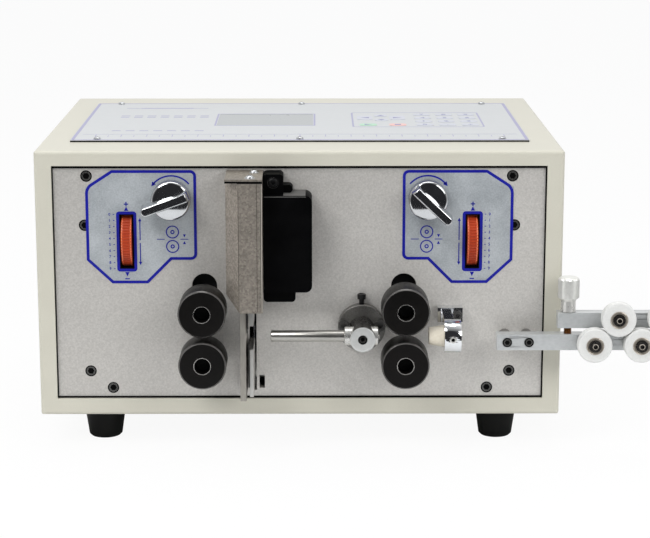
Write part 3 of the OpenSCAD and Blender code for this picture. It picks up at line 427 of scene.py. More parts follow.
satin_plate = surface("satin_plate", tone(184, 181, 176), tone(212, 209, 204),
                      grain=800, matt=(0.4, 0.5), ripple=0.4, metal=0.3, drift=3)
screw_face = surface("screw_face", tone(60, 59, 57), tone(78, 77, 75),
                     grain=1200, matt=(0.24, 0.34), ripple=0.05, metal=0.3, shine=0.6)
dress(satin_plate, "front_plate")
dress(screw_face, "socket_screws", edge=0.35)
plate_front = 3.0
plate_screw_face = 3.3
# Round each screw head a black ring and in each socket a black disc: painted shade of the
# counterbore gap and of the socket.
head_gap_shade = [(3.6, -0.02), (3.65, 0.08), (4.75, 0.08), (4.8, -0.3)]
socket_shade = [(0, 0.05), (2.5, 0.05), (2.5, -0.3)]
screw_shade_rings = bmesh.new()
for x, z in ((161, 212.4), (163, 174.6), (161, 60.3), (144, 47)):
    for side in (-1, 1):
        place = frontward(side * x, plate_screw_face, z)
        put(screw_shade_rings, turned(head_gap_shade, 40), place)
        put(screw_shade_rings, turned(socket_shade, 6), place)
settle(screw_shade_rings, "screw_shade_rings", "machine", "blackened_steel", recess_shade)
# A black strip round the plate's edge is painted shade of the gap between the plate and the case's
# rim.
gap_shade_x, gap_shade_low, gap_shade_top = 186.95, 39.05, 220.45
inner_left, inner_right, inner_low, inner_top = -186.35, 185.9, 40.3, 218.5
plate_gap_shade = bmesh.new()
for bar in ((-gap_shade_x, gap_shade_low, inner_left, gap_shade_top), (inner_right, gap_shade_low, gap_shade_x, gap_shade_top),
            (inner_left, gap_shade_low, inner_right, inner_low),
            (inner_left, inner_top, inner_right, gap_shade_top)):
    ink(plate_gap_shade, patch(box_corners(*bar)), frontward(0, plate_front - 0.05, 0), 0.9)
settle(plate_gap_shade, "plate_gap_shade", "machine", "foot_rubber", recess_shade)


# Dial plates
# Two printed polyester films, each stuck to the machine plate round a lever and a gap wheel.
# Silver, with a blue border, plain figures beside the wheel and arrows for the lever.

def sweep(radius, width, start, end, steps=24):
    """A flat curved line about the origin, between two angles in degrees."""
    shape = bmesh.new()
    a = math.radians(start)
    radii = (radius - width / 2, radius + width / 2)
    ends = [shape.verts.new((r * math.cos(a), r * math.sin(a), 0)) for r in radii]
    line = shape.edges.new(ends)
    bmesh.ops.spin(shape, geom=ends + [line], cent=(0, 0, 0), axis=(0, 0, 1),
                   angle=math.radians(end - start), steps=steps)
    return shape


dial_film = surface("dial_film", tone(157, 162, 166), tone(189, 194, 197),
                    grain=900, matt=(0.4, 0.5), ripple=0.15, metal=0.25)
blue_ink = surface("blue_ink", tone(10, 14, 138), tone(16, 22, 152),
                   grain=1500, matt=(0.38, 0.48), ripple=0.1, shine=0.3)
dress(dial_film, "dial_plates")
film_front = 2.7
wheel_x, wheel_z = 131.3, 162
knob_x, knob_z = 97, 195
line_wide, line_bend = 2.2, 4.6
border_line = [(142, 217), (78, 217), (78, 147.8), (97.3, 147.8),
               (115.5, 129.5), (142.8, 129.5), (162, 147.5), (162, 204)]
window_half, slot_half = (7.7, 23.3), (5.6, 21.2)
slot_back, slot_deep = 10.8, 8.14
scale_half, tick_out, figure_out = 21, 9.6, 12.8
arrow_in, point_up, sign_up = 10.2, 25.4, 28.9
arc_r, arc_from, arc_to = 17.6, 40, 140
SIDES = ((-1, "left"), (1, "right"))


def stamp(dial, shape, x, z):
    """Prints a flat shape on the film, at that place on the front of the machine."""
    ink(dial, shape, frontward(x, film_front, z))


for side, label in SIDES:
    dial = bmesh.new()
    middle = side * wheel_x
    # The border has three round corners, and the wheel's window a frame of the same line.
    corners = [(side * x, z) for x, z in border_line]
    if side < 0:
        stamp(dial, outline(corners, line_wide, (1, 2, 7), line_bend), 0, 0)
    else:
        stamp(dial, outline(corners[::-1], line_wide, (0, 5, 6), line_bend), 0, 0)
    window = outline(bar_corners(*window_half), line_wide, every_corner, 2.4)
    stamp(dial, window, middle, wheel_z)
    # The scale runs down the outer side of the wheel, and a double arrow down its inner side.
    for n in range(10):
        z = wheel_z + scale_half - 2 * scale_half * n / 9
        stamp(dial, patch(bar_corners(0.6, 0.28)), side * (wheel_x + tick_out), z)
        stamp(dial, figures(str(n), 3.1), side * (wheel_x + figure_out), z)
    arrow_x = side * (wheel_x - arrow_in)
    stamp(dial, patch(box_corners(-0.4, 1, 0.4, 16)), arrow_x, wheel_z)
    stamp(dial, patch(box_corners(-0.4, -16, 0.4, -1)), arrow_x, wheel_z)
    for up in (1, -1):
        stamp(dial, arrow(2.6, up * 90), arrow_x, wheel_z + up * 17)
        stamp(dial, arrow(3.4, up * 90), middle, wheel_z + up * point_up)
        stamp(dial, patch(bar_corners(1.7, 0.45)), middle, wheel_z + up * sign_up)
    stamp(dial, patch(bar_corners(0.45, 1.7)), middle, wheel_z + sign_up)
    # A black lining round the wheel's slot is painted shade of the window's sides.
    slot_shade_wall = outline(bar_corners(*slot_half), 0.75)
    ink(dial, slot_shade_wall, frontward(middle, slot_back, wheel_z), slot_deep, 1)
    # An arc with an arrow head shows which way the lever turns.
    stamp(dial, sweep(arc_r, 1.2, arc_from, arc_to), side * knob_x, knob_z)
    tip = arc_to + 2 if side < 0 else arc_from - 2
    a = math.radians(tip)
    tip_x, tip_z = side * knob_x + arc_r * math.cos(a), knob_z + arc_r * math.sin(a)
    stamp(dial, arrow(3.6, tip - side * 90), tip_x, tip_z)
    # Two rings for the rollers, with the wire between them and arrows that close on it.
    sign_x, sign_z = side * 96.5, 163.8
    for z in (158.2, 169.4):
        stamp(dial, sweep(4.6, 0.9, 0, 360, 36), sign_x, z)
        stamp(dial, sweep(1.2, 0.9, 0, 360, 18), sign_x, z)
    for start in (-12, 6):
        stamp(dial, patch(box_corners(start, -0.3, start + 6, 0.3)), sign_x, sign_z)
    stamp(dial, arrow(2.4, -90), sign_x + 9, sign_z + 2.6)
    stamp(dial, arrow(2.4, 90), sign_x + 9, sign_z - 2.6)
    settle(dial, label + "_dial_print", "machine", "dial_film", blue_ink, recess_shade)


# Roller levers
# Two cast zinc knobs with a tapered lever bar across a shallow cone of a disc, polished and
# chrome plated. A set screw in the disc holds each one to its spindle.

lever_chrome = surface("lever_chrome", tone(192, 194, 196), tone(204, 206, 208),
                       grain=300, matt=(0.08, 0.12), ripple=0.004, metal=1.0)
knob_back = 2.0
knob_disc = [(0, 13.0), (6.5, 11.9), (13.0, 10.8), (14.2, 10.3), (15.0, 9.0),
             (15.0, 0.9), (14.6, 0.2), (6, 0.2)]
bar_size = (37.2, 8.8, 12.8)
bar_reach, bar_height = 4.5, 15.6
for side, label, pointing in ((-1, "left", 199.8), (1, "right", -43.6)):
    lever = bmesh.new()
    place = frontward(side * knob_x, knob_back, knob_z)
    put(lever, turned(knob_disc, 64), place)
    bar = bmesh.new()
    bar_place = Matrix.LocRotScale((bar_reach, 0, bar_height), None, bar_size)
    bmesh.ops.create_cube(bar, size=1, matrix=bar_place)
    # The crest is narrower than the foot, the tip is rounded and the upper rims are eased.
    crest = [v for v in bar.verts if v.co.z > bar_height]
    bmesh.ops.scale(bar, vec=(0.97, 0.76, 1), verts=crest,
                    space=Matrix.Translation((-bar_reach, 0, 0)))
    uprights = [e for e in bar.edges
                if abs(e.verts[0].co.z - e.verts[1].co.z) > 5 and e.verts[0].co.x > 10]
    bmesh.ops.bevel(bar, geom=uprights, offset=3.1, affect="EDGES", segments=6, profile=0.5,
                    material=-1)
    rims = [e for e in bar.edges if e.is_manifold and e.calc_face_angle(0) > 0.6
            and (e.verts[0].co.z + e.verts[1].co.z) / 2 > 14]
    bmesh.ops.bevel(bar, geom=rims, offset=1.0, affect="EDGES", segments=3, profile=0.5,
                    material=-1)
    put(lever, bar, place @ Matrix.Rotation(math.radians(pointing), 4, "Z"))
    settle(lever, label + "_lever", label + "_knob", "chrome", lever_chrome,
           hides=[label + "_knob"], sharp=50)


# Gap wheels
# Orange thumb wheels with a knurled rim, moulded in acetal, that stand through the windows of
# the dial plates. Each has a smooth ring at both edges of its rim, a lighter orange as a painted
# highlight, and turns on a cross axle.

orange_acetal = surface("orange_acetal", tone(164, 52, 17), tone(184, 64, 24),
                        grain=1400, matt=(0.36, 0.5), ripple=0.25, shine=0.35)
orange_highlight = surface("orange_highlight", tone(228, 116, 72), tone(238, 134, 92),
                    grain=900, matt=(0.22, 0.3), ripple=0.05)
dress(orange_acetal, "left_gap_wheel", "right_gap_wheel")
wheel_depth = 18
# The rings take a lighter orange than the wheel: a painted highlight on the edges of the rim.
rim_ring = [(20.9, 4.05), (21.5, 3.75), (21.85, 3.2), (21.85, 2.9), (21.1, 2.9)]
for side, label in SIDES:
    rims = bmesh.new()
    for turn in (-1, 1):
        sideways = Matrix.Rotation(turn * math.pi / 2, 4, "Y")
        axle = Matrix.Translation((side * wheel_x, wheel_depth, wheel_z)) @ sideways
        put(rims, turned(rim_ring, 96), axle)
    settle(rims, label + "_wheel_rims", label + "_gap_wheel", "orange_plastic", orange_highlight)


# Feed rollers
# Four rollers of hard black polyurethane, turned to size with an eased rim, each on a steel
# shaft. The shaft ends deep in the bore, behind a black disc of painted shade, and a bright
# steel ring at the bore's edge is a painted glint. The eased rim is a lighter grey, a painted
# highlight.

roller_black = surface("roller_black", tone(10, 9, 8), tone(17, 15, 14),
                       grain=700, matt=(0.3, 0.42), ripple=0.12, shine=0.14)
shaft_steel = surface("shaft_steel", tone(34, 34, 35), tone(58, 58, 59),
                      grain=900, matt=(0.28, 0.4), ripple=0.1, metal=0.8, stretch=(1, 0.2, 1))
rim_highlight = surface("rim_highlight", tone(84, 82, 80), tone(98, 96, 94),
                     grain=1500, matt=(0.2, 0.28), ripple=0.02, metal=0.6, shine=0.6)
glint_steel = surface("glint_steel", tone(150, 148, 144), tone(186, 184, 180),
                     grain=1400, matt=(0.2, 0.3), ripple=0.08, metal=1.0)
bore_shade_rubber = surface("bore_shade_rubber", tone(10, 10, 10), tone(18, 18, 18),
                      grain=900, matt=(0.6, 0.75), ripple=0.2, shine=0.1)
# On each roller: a bright ring at the bore's edge is a painted glint, a black disc in the bore
# painted shade, and a lighter ring on the eased rim a painted highlight.
bore_glint_ring = [(6.0, -0.5), (6.05, 0.1), (6.3, 0.18), (6.6, 0.1), (6.65, -0.1)]
bore_shade_disc = [(5.9, -9.6), (5.9, -9.0), (5.4, -8.6), (0, -8.6)]
rim_highlight_profile = [(16.9, 0.02), (17.02, 0.03), (17.98, -0.93), (18.03, -1.05)]
for side in ("left", "right"):
    for level in ("lower", "upper"):
        name = side + "_" + level
        dress(roller_black, name + "_roller", edge=0.25)
        dress(shaft_steel, name + "_shaft")
        low, high = node_box(name + "_roller")
        place = frontward((low.x + high.x) / 2, low.y, (low.z + high.z) / 2)
        bore_marks = bmesh.new()
        put(bore_marks, turned(bore_glint_ring, 56), place)
        put(bore_marks, turned(bore_shade_disc, 56), place, 1)
        put(bore_marks, turned(rim_highlight_profile, 96), place, 2)
        settle(bore_marks, name + "_bore_shade_and_glints", name + "_feed", "steel",
               glint_steel, bore_shade_rubber, rim_highlight)


# Cutter guard and cover
# The guard is folded from galvanised sheet, its dull crystals left bare, and hangs in front of the
# blades by two screws. The cover and the housing behind it are black anodised aluminium.

def galvanised_sheet(name, lightness):
    """Zinc-coated sheet: small crystals of slightly different grey, with a dull gloss."""
    def zinc(red, green, blue):
        """A tone of the sheet, lighter or darker as a whole."""
        return tone(red * lightness, green * lightness, blue * lightness)

    material = surface(name, zinc(104, 98, 90), zinc(136, 129, 120),
                       grain=620, matt=(0.42, 0.6), ripple=0.12, metal=0.35)
    tree = material.node_tree
    crystal = tree.nodes.new("ShaderNodeTexVoronoi")
    crystal.inputs["Scale"].default_value = 760
    shade = tree.nodes.new("ShaderNodeValToRGB")
    shade.color_ramp.elements[0].color = zinc(88, 82, 75)
    shade.color_ramp.elements[1].color = zinc(166, 158, 147)
    mixed = tree.nodes.new("ShaderNodeMix")
    mixed.data_type = "RGBA"
    mixed.inputs["Factor"].default_value = 0.5
    join = tree.links.new
    join(tree.nodes["Texture Coordinate"].outputs["Object"], crystal.inputs["Vector"])
    join(crystal.outputs["Color"], shade.inputs["Fac"])
    join(shade.outputs["Color"], mixed.inputs["A"])
    join(tree.nodes["Color Ramp"].outputs["Color"], mixed.inputs["B"])
    join(mixed.outputs["Result"], tree.nodes["Principled BSDF"].inputs["Base Color"])
    return material


guard_zinc = galvanised_sheet("guard_zinc", 1.0)
# The facets turned to the left get a lighter copy of the zinc: painted light on the side the lamps
# light more.
guard_side_lit = galvanised_sheet("guard_side_lit", 1.16)
dress(guard_zinc, "cutter_guard", edge=0.25)
guard_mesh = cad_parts["cutter_guard"].data
guard_mesh.materials.append(guard_side_lit)
turned_left = -0.3
for face in guard_mesh.polygons:
    face.material_index = 1 if face.normal.x < turned_left else 0

# Painted light on the guard: black strips under the top flange's front edge are painted shadow,
# dark lines along its folds painted shade, and a light line at its right edge a painted highlight.
fold_shade = surface("fold_shade", tone(62, 57, 51), tone(74, 69, 62),
                     grain=900, matt=(0.5, 0.6), ripple=0.1, metal=0.2)
fold_highlight = surface("fold_highlight", tone(176, 170, 160), tone(190, 184, 174),
                     grain=900, matt=(0.4, 0.5), ripple=0.1, metal=0.3)
guard_left, guard_right = -55, -27.25
guard_low, guard_top, guard_front = 116, 217, -40
guard_shade_lines = bmesh.new()
flange_shadow = [(guard_left - 0.1, 2.9), (guard_left - 0.1, -23.1),
              (guard_left + 9.9, guard_front - 0.12), (guard_right + 0.1, guard_front - 0.12),
              (guard_right + 0.1, guard_front + 2), (guard_left + 11, guard_front + 2),
              (guard_left + 2, -22), (guard_left + 2, 2.9)]
ink(guard_shade_lines, patch(flange_shadow), upward(0, 0, guard_top - 3.2), 1.7)
put(guard_shade_lines, block((guard_left + 0.1, guard_front + 0.05, guard_top - 2.9),
                     (guard_left + 11, guard_front + 3, guard_top - 1.45)))
painted_fold_lines = ((guard_left + 9.9, guard_left + 10.3, 0.06, 1),
              (guard_right - 4.2, guard_right - 3.8, 0.05, 1),
              (guard_right - 1.3, guard_right - 0.9, 0.05, 1),
              (guard_right - 0.85, guard_right - 0.25, 0.05, 2))
for start, end, proud, skin in painted_fold_lines:
    line = block((start, guard_front - proud, guard_low + 1),
                 (end, guard_front + 0.2, guard_top - 3))
    put(guard_shade_lines, line, None, skin)
settle(guard_shade_lines, "guard_shade_lines", "machine", "galvanised", recess_shade, fold_shade, fold_highlight)

black_anodised = surface("black_anodised", tone(4, 4, 5), tone(9, 9, 10),
                         grain=1200, matt=(0.42, 0.55), ripple=0.15, shine=0.04)
top_sheen_grey = surface("top_sheen_grey", tone(88, 87, 85), tone(104, 103, 101),
                   grain=900, matt=(0.4, 0.5), ripple=0.15, metal=0.2)
dress(black_anodised, "cutter_cover", "cutter_housing", edge=0.4)
# A grey patch on the black cover's top is a painted sheen, its reflection at a grazing angle, and a
# light line along its top front edge a painted highlight.
low, high = node_box("cutter_cover")
sheen_corners = box_corners(-11.9, -22.6, 4.6, 2.9)
cover_top_sheen = bmesh.new()
ink(cover_top_sheen, patch(sheen_corners), upward(0, 0, high.z), 0.12)
edge_highlight = block((low.x + 0.8, low.y - 0.03, high.z - 0.95),
                  (high.x - 4.6, low.y + 0.3, high.z - 0.4))
put(cover_top_sheen, edge_highlight)
settle(cover_top_sheen, "cover_top_sheen", "machine", "black_plastic", top_sheen_grey)

guard_screws = bmesh.new()
for x, y, width in ((-34, -9, 5.6), (-36.4, -34, 6.2)):
    rim = width * 0.66
    washer = [(0, 0.5), (width * 0.62, 0.5), (rim, 0.2), (rim, -0.2)]
    put(guard_screws, turned(washer, 32), upward(x, y, guard_top))
    pan_screw(guard_screws, upward(x, y, guard_top + 0.4), width, 0.4)
settle(guard_screws, "guard_screws", "machine", "zinc_steel", screw_plate, recess_shade)

black_oxide = surface("black_oxide", tone(12, 12, 13), tone(24, 24, 25),
                      grain=1800, matt=(0.3, 0.42), ripple=0.15, shine=0.35)
lug_x, housing_front, lug_z = -19.55, -17, 210.5
housing_screw = bmesh.new()
place = frontward(lug_x, housing_front, lug_z)
socket_head = [(0, -1.6), (1.6, -1.6), (1.6, 0.4), (2.9, 0.4), (3.3, 0.1), (3.5, -0.6), (3.5, -3.6)]
# A bright steel ring round the head is a painted glint on the edge of the counterbore.
glint_ring = [(3.85, -0.3), (3.9, 0.1), (4.25, 0.1), (4.3, -0.3)]
put(housing_screw, turned(socket_head, 32), place)
put(housing_screw, turned(glint_ring, 48), place, 1)
settle(housing_screw, "housing_screw", "machine", "blackened_steel", black_oxide, glint_steel)


# Blades and their guides
# A zinc plated guide plate, two ground holders that slide behind it, and the two tool steel
# blades. A ground screw with two opposite threads closes and opens the holders.

plated_guide = surface("plated_guide", tone(142, 138, 131), tone(174, 170, 162),
                       grain=600, matt=(0.3, 0.42), ripple=0.12, metal=0.8, stretch=(1, 1, 0.15))
plated_holder = surface("plated_holder", tone(184, 183, 179), tone(194, 193, 189),
                        grain=600, matt=(0.28, 0.31), ripple=0.004, metal=0.9,
                        stretch=(1, 1, 0.15))
blade_steel = surface("blade_steel", tone(34, 33, 32), tone(50, 49, 47),
                      grain=1500, matt=(0.36, 0.46), ripple=0.05, metal=0.6, stretch=(1, 0.08, 1))
ground_steel = surface("ground_steel", tone(150, 152, 154), tone(182, 184, 186),
                       grain=1500, matt=(0.2, 0.32), ripple=0.12, metal=1.0, stretch=(1, 0.08, 1))
dress(plated_guide, "blade_guide", edge=0.25)
dress(plated_holder, "upper_blade_holder", "lower_blade_holder", edge=0.25)
dress(blade_steel, "upper_blade", "lower_blade")
dress(ground_steel, "cutter_screw")


# Guide tube and its pivot
# A ground flange screwed to the machine plate, a turned hub that swings on it, and a thin
# nickel-plated tube. A black clamp screw stands out of the top of the flange.

flange_steel = surface("flange_steel", tone(116, 114, 111), tone(152, 150, 146),
                       grain=800, matt=(0.32, 0.42), ripple=0.1, metal=0.8)
tube_nickel = surface("tube_nickel", tone(172, 170, 165), tone(186, 184, 179),
                      grain=400, matt=(0.3, 0.34), ripple=0.004, metal=1.0)
dress(flange_steel, "pivot_flange", edge=0.6)
dress(tube_nickel, "guide_tube", edge=0.4)
pivot_x, flange_top, flange_middle = 47.2, 114, -1
wire_y, wire_z = -29, 96
clamp_screw = bmesh.new()
clamp_head = [(0, -1), (1.9, -1), (1.9, 4.4), (3.2, 4.4), (3.3, 4.8), (3.3, 7.9),
              (2.9, 8.3), (1.7, 8.3), (1.7, 6.2), (0, 6.2)]
put(clamp_screw, turned(clamp_head, 28), upward(pivot_x, flange_middle, flange_top - 0.3))
settle(clamp_screw, "flange_clamp_screw", "machine", "blackened_steel", black_oxide)

# The hub is one turned steel part: its front face gets a lighter, less metallic steel as painted
# light, and its barrel a darker one as painted shade.
hub_face_lit = surface("hub_face_lit", tone(190, 191, 189), tone(202, 203, 201),
                   grain=500, matt=(0.3, 0.4), ripple=0.02, metal=0.35)
hub_barrel_shaded = surface("hub_barrel_shaded", tone(92, 90, 87), tone(116, 114, 110),
                     grain=500, matt=(0.24, 0.32), ripple=0.02, metal=0.9)
screw_black = surface("screw_black", tone(30, 29, 28), tone(44, 43, 41),
                      grain=1200, matt=(0.24, 0.34), ripple=0.05, metal=0.3, shine=0.6)
hub_nickel = surface("hub_nickel", tone(210, 209, 205), tone(222, 221, 217),
                     grain=400, matt=(0.24, 0.32), ripple=0.008, metal=0.75)
hub_front = -42
hub_ring = [(3.5, -0.3), (3.7, -0.02), (7.2, -0.02), (7.3, -0.12), (7.6, -0.12),
            (7.7, -0.02), (8.8, -0.02), (9.3, -0.3), (9.5, -0.9)]
hub_side = [(9.5, -0.9), (9.5, -36.8), (5, -36.8), (5, -52.5)]
hub_pocket = [(3.5, -0.3), (3.5, -2.4), (0, -2.4)]
pocket_screw = [(1.5, -2.3), (1.6, -1.4), (2.6, -1.4), (3.2, -1.8), (3.3, -2.3)]
tube_clamp = [(4.35, -13.5), (6.5, -13.5), (7, -13), (7, 11.5), (6.5, 12), (4.35, 12)]
hub = bmesh.new()
place = frontward(pivot_x, hub_front, wire_z)
put(hub, turned(hub_ring, 64), place)
put(hub, turned(hub_side, 64), place, 1)
put(hub, turned(hub_pocket, 48), place, 2)
put(hub, turned(pocket_screw, 48), place, 3)
along_wire = Matrix.Translation((pivot_x, wire_y, wire_z)) @ Matrix.Rotation(math.pi / 2, 4, "Y")
put(hub, turned(tube_clamp, 48), along_wire, 4)
settle(hub, "swing_hub_turned", "swing_tube", "steel",
       hub_face_lit, hub_barrel_shaded, recess_shade, screw_black, hub_nickel, hides=["swing_hub"])


# Inlet
# A chrome plated block and split collar that hold a tapered nozzle of ivory nylon in line with
# the wire. A small socket screw closes the collar from the front.

chrome = surface("chrome", tone(222, 224, 226), tone(234, 236, 238),
                 grain=300, matt=(0.05, 0.08), ripple=0.002, metal=1.0)
ivory_nylon = surface("ivory_nylon", tone(222, 212, 192), tone(234, 226, 208),
                      grain=700, matt=(0.34, 0.46), ripple=0.12)
dress(chrome, "inlet_holder", edge=0.5)
dress(ivory_nylon, "inlet_nozzle", edge=0.3)
collar_x, collar_front = 114.7, -41.75
collar_socket = [(0, -0.5), (1.3, -0.5), (1.3, 0.15)]
collar_ring = [(1.3, 0.15), (2.2, 0.3), (2.7, 0.1), (2.7, -1.5)]
collar_screw = bmesh.new()
place = frontward(collar_x, collar_front, wire_z)
put(collar_screw, turned(collar_socket, 28), place)
put(collar_screw, turned(collar_ring, 28), place, 1)
settle(collar_screw, "collar_screw", "machine", "steel", recess_shade, hub_nickel)


# Straightener
# Two zinc plated steel bars, the lower one screwed to posts, the upper one pulled down on to the
# wire by knurled thumbscrews. White nylon rollers with a bearing run on black socket screws.

bar_zinc = surface("bar_zinc", tone(192, 195, 195), tone(208, 210, 210),
                   grain=500, matt=(0.28, 0.34), ripple=0.01, metal=0.5, stretch=(0.6, 1, 1),
                   drift=12)
axle_steel = surface("axle_steel", tone(34, 32, 30), tone(46, 44, 42),
                     grain=500, matt=(0.22, 0.3), ripple=0.005, metal=0.6)
dress(bar_zinc, "base_bar", "top_bar", edge=0.4)
dress(flange_steel, "bar_posts")
dress(axle_steel, "base_axles", "top_axles", edge=0.3)
low, high = node_box("base_bar")
bar_screw_proud = 0.4
bar_screw_gap_shade = [(2.7, -0.2), (2.75, 0.06), (3.5, 0.06), (3.55, -0.4)]
bar_socket_shade = [(0, 0.05), (1.9, 0.05), (1.9, -0.3)]
# A black ring round each screw head and a black disc in its socket are painted shade of the
# counterbore and of the socket.
bar_screw_shade = bmesh.new()
for step in (8, 24.5):
    place = frontward(low.x + step, low.y - bar_screw_proud, (low.z + high.z) / 2)
    put(bar_screw_shade, turned(bar_screw_gap_shade, 36), place)
    put(bar_screw_shade, turned(bar_socket_shade, 6), place)
settle(bar_screw_shade, "bar_screw_shade_rings", "machine", "blackened_steel", recess_shade)

nylon_white = surface("nylon_white", tone(212, 212, 209), tone(222, 222, 219),
                      grain=700, matt=(0.4, 0.5), ripple=0.1)
bearing_steel = surface("bearing_steel", tone(172, 163, 150), tone(196, 188, 176),
                        grain=400, matt=(0.16, 0.22), ripple=0.005, metal=0.5)
bearing_seal = surface("bearing_seal", tone(16, 14, 13), tone(28, 25, 23),
                       grain=1500, matt=(0.4, 0.55), ripple=0.2, shine=0.3)
seal_ring = [(3.0, 4.3), (3.0, 4.54), (5.0, 4.54), (5.0, 4.3)]
# A bright ring round each axle screw's socket is a painted glint on its chamfer.
socket_glint = [(1.7, 6.89), (1.85, 6.93), (2.2, 6.93), (2.3, 6.84)]
outer_ring = [(4.6, 4.5), (4.8, 4.62), (5.3, 4.72), (5.8, 5.15), (6.2, 5.3), (6.6, 5.15),
              (6.75, 4.45)]
base_z, top_z = 88.8, 108.8
for label, x, z in (("base_roller_1", 222, base_z), ("base_roller_2", 257, base_z),
                    ("base_roller_3", 292, base_z), ("top_roller_1", 239.5, top_z),
                    ("top_roller_2", 274.5, top_z)):
    dress(nylon_white, label, edge=0.4)
    bearing = bmesh.new()
    place = frontward(x, wire_y, z)
    put(bearing, turned(seal_ring, 48), place, 1)
    put(bearing, turned(socket_glint, 36), place)
    put(bearing, turned(outer_ring, 48), place)
    settle(bearing, label + "_bearing", label, "steel", bearing_steel, bearing_seal)

thumb_nickel = surface("thumb_nickel", tone(222, 222, 217), tone(234, 234, 229),
                       grain=500, matt=(0.28, 0.36), ripple=0.01, metal=0.5)
thread_brass = surface("thread_brass", tone(120, 78, 40), tone(168, 116, 66),
                       grain=1500, matt=(0.28, 0.4), ripple=0.1, metal=0.9)
bar_mid = -16.5
thread_foot, thread_turns = 83.6, 28
thumb_seat = 112.1
neck_top = thumb_seat + 9.6
head_top = neck_top + 16.6
knurl_r, knurl_low, knurl_high = 8.2, neck_top + 1.4, 13.6
rows, ribs, groove = 14, 48, 0.93
for label, x in (("left_thumbscrew", 203), ("right_thumbscrew", 311)):
    thumb = bmesh.new()
    place = upward(x, bar_mid, 0)
    thread = [(0, thread_foot), (2.6, thread_foot)]
    for n in range(thread_turns):
        thread += [(3.0, thread_foot + 0.5 + n), (2.55, thread_foot + 1.0 + n)]
    put(thumb, turned(thread, 28), place, 1)
    neck = [(2.6, thumb_seat), (5.75, thumb_seat), (5.75, neck_top - 1.2), (6.4, neck_top)]
    put(thumb, turned(neck, 48), place, 2)
    grip = [(6.4, neck_top), (7.7, neck_top + 0.9)]
    grip += [(knurl_r, knurl_low + knurl_high * n / rows) for n in range(rows + 1)]
    grip += [(7.3, head_top - 0.5), (6.5, head_top), (0, head_top)]
    head = turned(grip, ribs)
    # Every second point of the grip is pressed in, which leaves the crossed knurl.
    for v in head.verts:
        if abs(Vector(v.co.xy).length - knurl_r) < 0.02:
            ring = round((v.co.z - knurl_low) * rows / knurl_high)
            rib = round(math.atan2(v.co.y, v.co.x) * ribs / math.tau)
            if (ring + rib) % 2:
                v.co.xy *= groove
    put(thumb, head, place)
    settle(thumb, label + "_knurled", label, "zinc_steel",
           thumb_nickel, thread_brass, hub_nickel, hides=[label], sharp=18)


# Inner works
# Out of sight behind the plate: the cast frame with its bearings, carriages, cranks and brackets,
# the coated motors, the plated power supply and the green lacquered circuit board.

frame_cast = surface("frame_cast", tone(150, 151, 152), tone(172, 173, 174),
                     grain=700, matt=(0.42, 0.55), ripple=0.2, metal=0.7)
bearing_bright = surface("bearing_bright", tone(160, 161, 162), tone(174, 175, 176),
                         grain=1200, matt=(0.3, 0.36), ripple=0.01, metal=1.0)
motor_coat = surface("motor_coat", tone(26, 26, 27), tone(38, 38, 39),
                     grain=900, matt=(0.45, 0.6), ripple=0.25)
supply_mesh = surface("supply_mesh", tone(158, 160, 161), tone(184, 186, 187),
                      grain=600, matt=(0.3, 0.45), ripple=0.2, metal=0.9)
board_lacquer = surface("board_lacquer", tone(20, 84, 48), tone(30, 100, 60),
                        grain=800, matt=(0.3, 0.42), ripple=0.15)
dress(frame_cast, "mechanism_frame", "gap_wheel_brackets")
dress(bearing_bright, "shaft_bearings", "left_crank", "right_crank")
dress(black_oxide, "left_carriage", "right_carriage")
dress(motor_coat, "feed_motors", "cutter_motor", "swing_motor")
dress(supply_mesh, "power_supply")
dress(board_lacquer, "control_board")


# Studio
# A floor of white paper and a white background, which reflections see darken to the front.
# One large soft lamp hangs at the upper front left, a weaker one at the right and one overhead.

def background_light():
    """White for the camera, dark towards the front in reflections, a weak cool light otherwise."""
    world = bpy.data.worlds.new("studio")
    bpy.context.scene.world = world
    world.use_nodes = True
    tree = world.node_tree
    tree.nodes.clear()
    rays = tree.nodes.new("ShaderNodeLightPath")
    seen = tree.nodes.new("ShaderNodeMath")
    seen.operation = "MAXIMUM"
    through = tree.nodes.new("ShaderNodeMath")
    through.operation = "MAXIMUM"
    room = tree.nodes.new("ShaderNodeBackground")
    room.inputs["Color"].default_value = (0.95, 0.97, 1.0, 1.0)
    room.inputs["Strength"].default_value = 0.55
    white = tree.nodes.new("ShaderNodeBackground")
    white.inputs["Strength"].default_value = 1.0
    way = tree.nodes.new("ShaderNodeTexCoord")
    split = tree.nodes.new("ShaderNodeSeparateXYZ")
    reach = tree.nodes.new("ShaderNodeMapRange")
    reach.inputs["From Min"].default_value = -0.75
    reach.inputs["From Max"].default_value = 0.15
    shade = tree.nodes.new("ShaderNodeValToRGB")
    shade.color_ramp.elements[0].color = (0.03, 0.03, 0.033, 1)
    shade.color_ramp.elements[1].color = (1, 1, 1, 1)
    plain = tree.nodes.new("ShaderNodeMix")
    plain.data_type = "RGBA"
    plain.inputs["B"].default_value = (1, 1, 1, 1)
    choice = tree.nodes.new("ShaderNodeMixShader")
    out = tree.nodes.new("ShaderNodeOutputWorld")
    join = tree.links.new
    join(way.outputs["Generated"], split.inputs["Vector"])
    join(split.outputs["Y"], reach.inputs["Value"])
    join(reach.outputs["Result"], shade.inputs["Fac"])
    join(rays.outputs["Is Camera Ray"], plain.inputs["Factor"])
    join(shade.outputs["Color"], plain.inputs["A"])
    join(plain.outputs["Result"], white.inputs["Color"])
    join(rays.outputs["Is Glossy Ray"], through.inputs[0])
    join(rays.outputs["Is Transmission Ray"], through.inputs[1])
    join(rays.outputs["Is Camera Ray"], seen.inputs[0])
    join(through.outputs[0], seen.inputs[1])
    join(seen.outputs[0], choice.inputs["Fac"])
    join(room.outputs["Background"], choice.inputs[1])
    join(white.outputs["Background"], choice.inputs[2])
    join(choice.outputs["Shader"], out.inputs["Surface"])


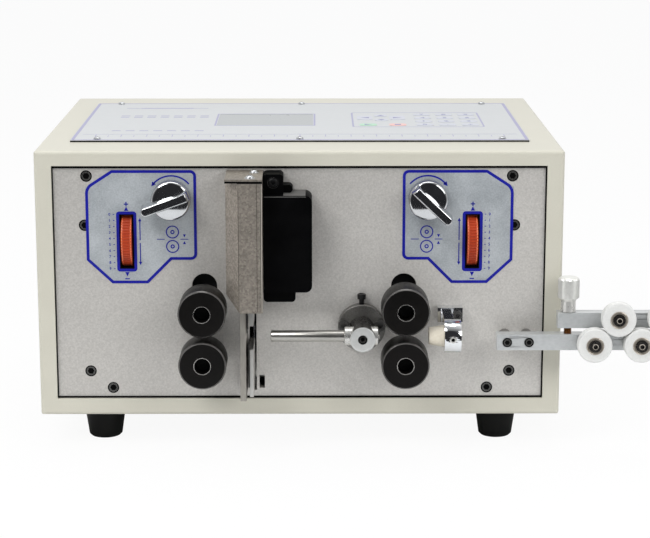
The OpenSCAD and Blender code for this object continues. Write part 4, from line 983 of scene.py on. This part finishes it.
def floor_paper():
    """White paper that the camera sees almost pure, and that still takes the shadow."""
    material = surface("floor_paper", (0.86, 0.86, 0.86, 1), (0.88, 0.88, 0.88, 1),
                       grain=60, matt=(0.7, 0.8), ripple=0.02)
    tree = material.node_tree
    rays = tree.nodes.new("ShaderNodeLightPath")
    share = tree.nodes.new("ShaderNodeMath")
    share.operation = "MULTIPLY"
    share.inputs[1].default_value = 0.93
    glow = tree.nodes.new("ShaderNodeEmission")
    mix = tree.nodes.new("ShaderNodeMixShader")
    join = tree.links.new
    join(rays.outputs["Is Camera Ray"], share.inputs[0])
    join(share.outputs[0], mix.inputs["Fac"])
    join(tree.nodes["Principled BSDF"].outputs["BSDF"], mix.inputs[1])
    join(glow.outputs["Emission"], mix.inputs[2])
    join(mix.outputs["Shader"], tree.nodes["Material Output"].inputs["Surface"])
    return material


background_light()
paper = bmesh.new()
bmesh.ops.create_grid(paper, x_segments=2, y_segments=2, size=6)
bmesh.ops.translate(paper, verts=paper.verts, vec=(0, 5.5, 0))
floor_mesh = bpy.data.meshes.new("floor")
paper.to_mesh(floor_mesh)
paper.free()
floor_mesh.materials.append(floor_paper())
floor = bpy.data.objects.new("floor", floor_mesh)
bpy.context.scene.collection.objects.link(floor)


def soft_lamp(name, spot, aim, size, watts):
    """A round lamp of that width in metres, turned towards its aim."""
    lamp = bpy.data.lights.new(name, "AREA")
    lamp.shape = "DISK"
    lamp.size = size
    lamp.energy = watts
    holder = bpy.data.objects.new(name, lamp)
    holder.location = spot
    holder.rotation_euler = (Vector(aim) - Vector(spot)).to_track_quat("-Z", "Y").to_euler()
    bpy.context.scene.collection.objects.link(holder)


machine_front = (0, -0.05, 0.12)
soft_lamp("key_lamp", (-0.95, -1.05, 1.4), machine_front, size=0.9, watts=16)
soft_lamp("fill_lamp", (1.1, -1.2, 0.9), machine_front, size=1.0, watts=10)
soft_lamp("top_lamp", (0.0, 0.2, 1.7), (0, 0, 0.1), size=1.2, watts=8)

view = bpy.data.cameras.new("view")
view.sensor_fit = "HORIZONTAL"
view.sensor_width = 36
view.lens = 110.96
camera = bpy.data.objects.new("view", view)
camera.location = (-0.04752, -1.6213, 0.4679)
camera.rotation_euler = (math.radians(77.621), 0, math.radians(-0.274))
bpy.context.scene.collection.objects.link(camera)
bpy.context.scene.camera = camera
bpy.context.scene.view_settings.view_transform = "Standard"
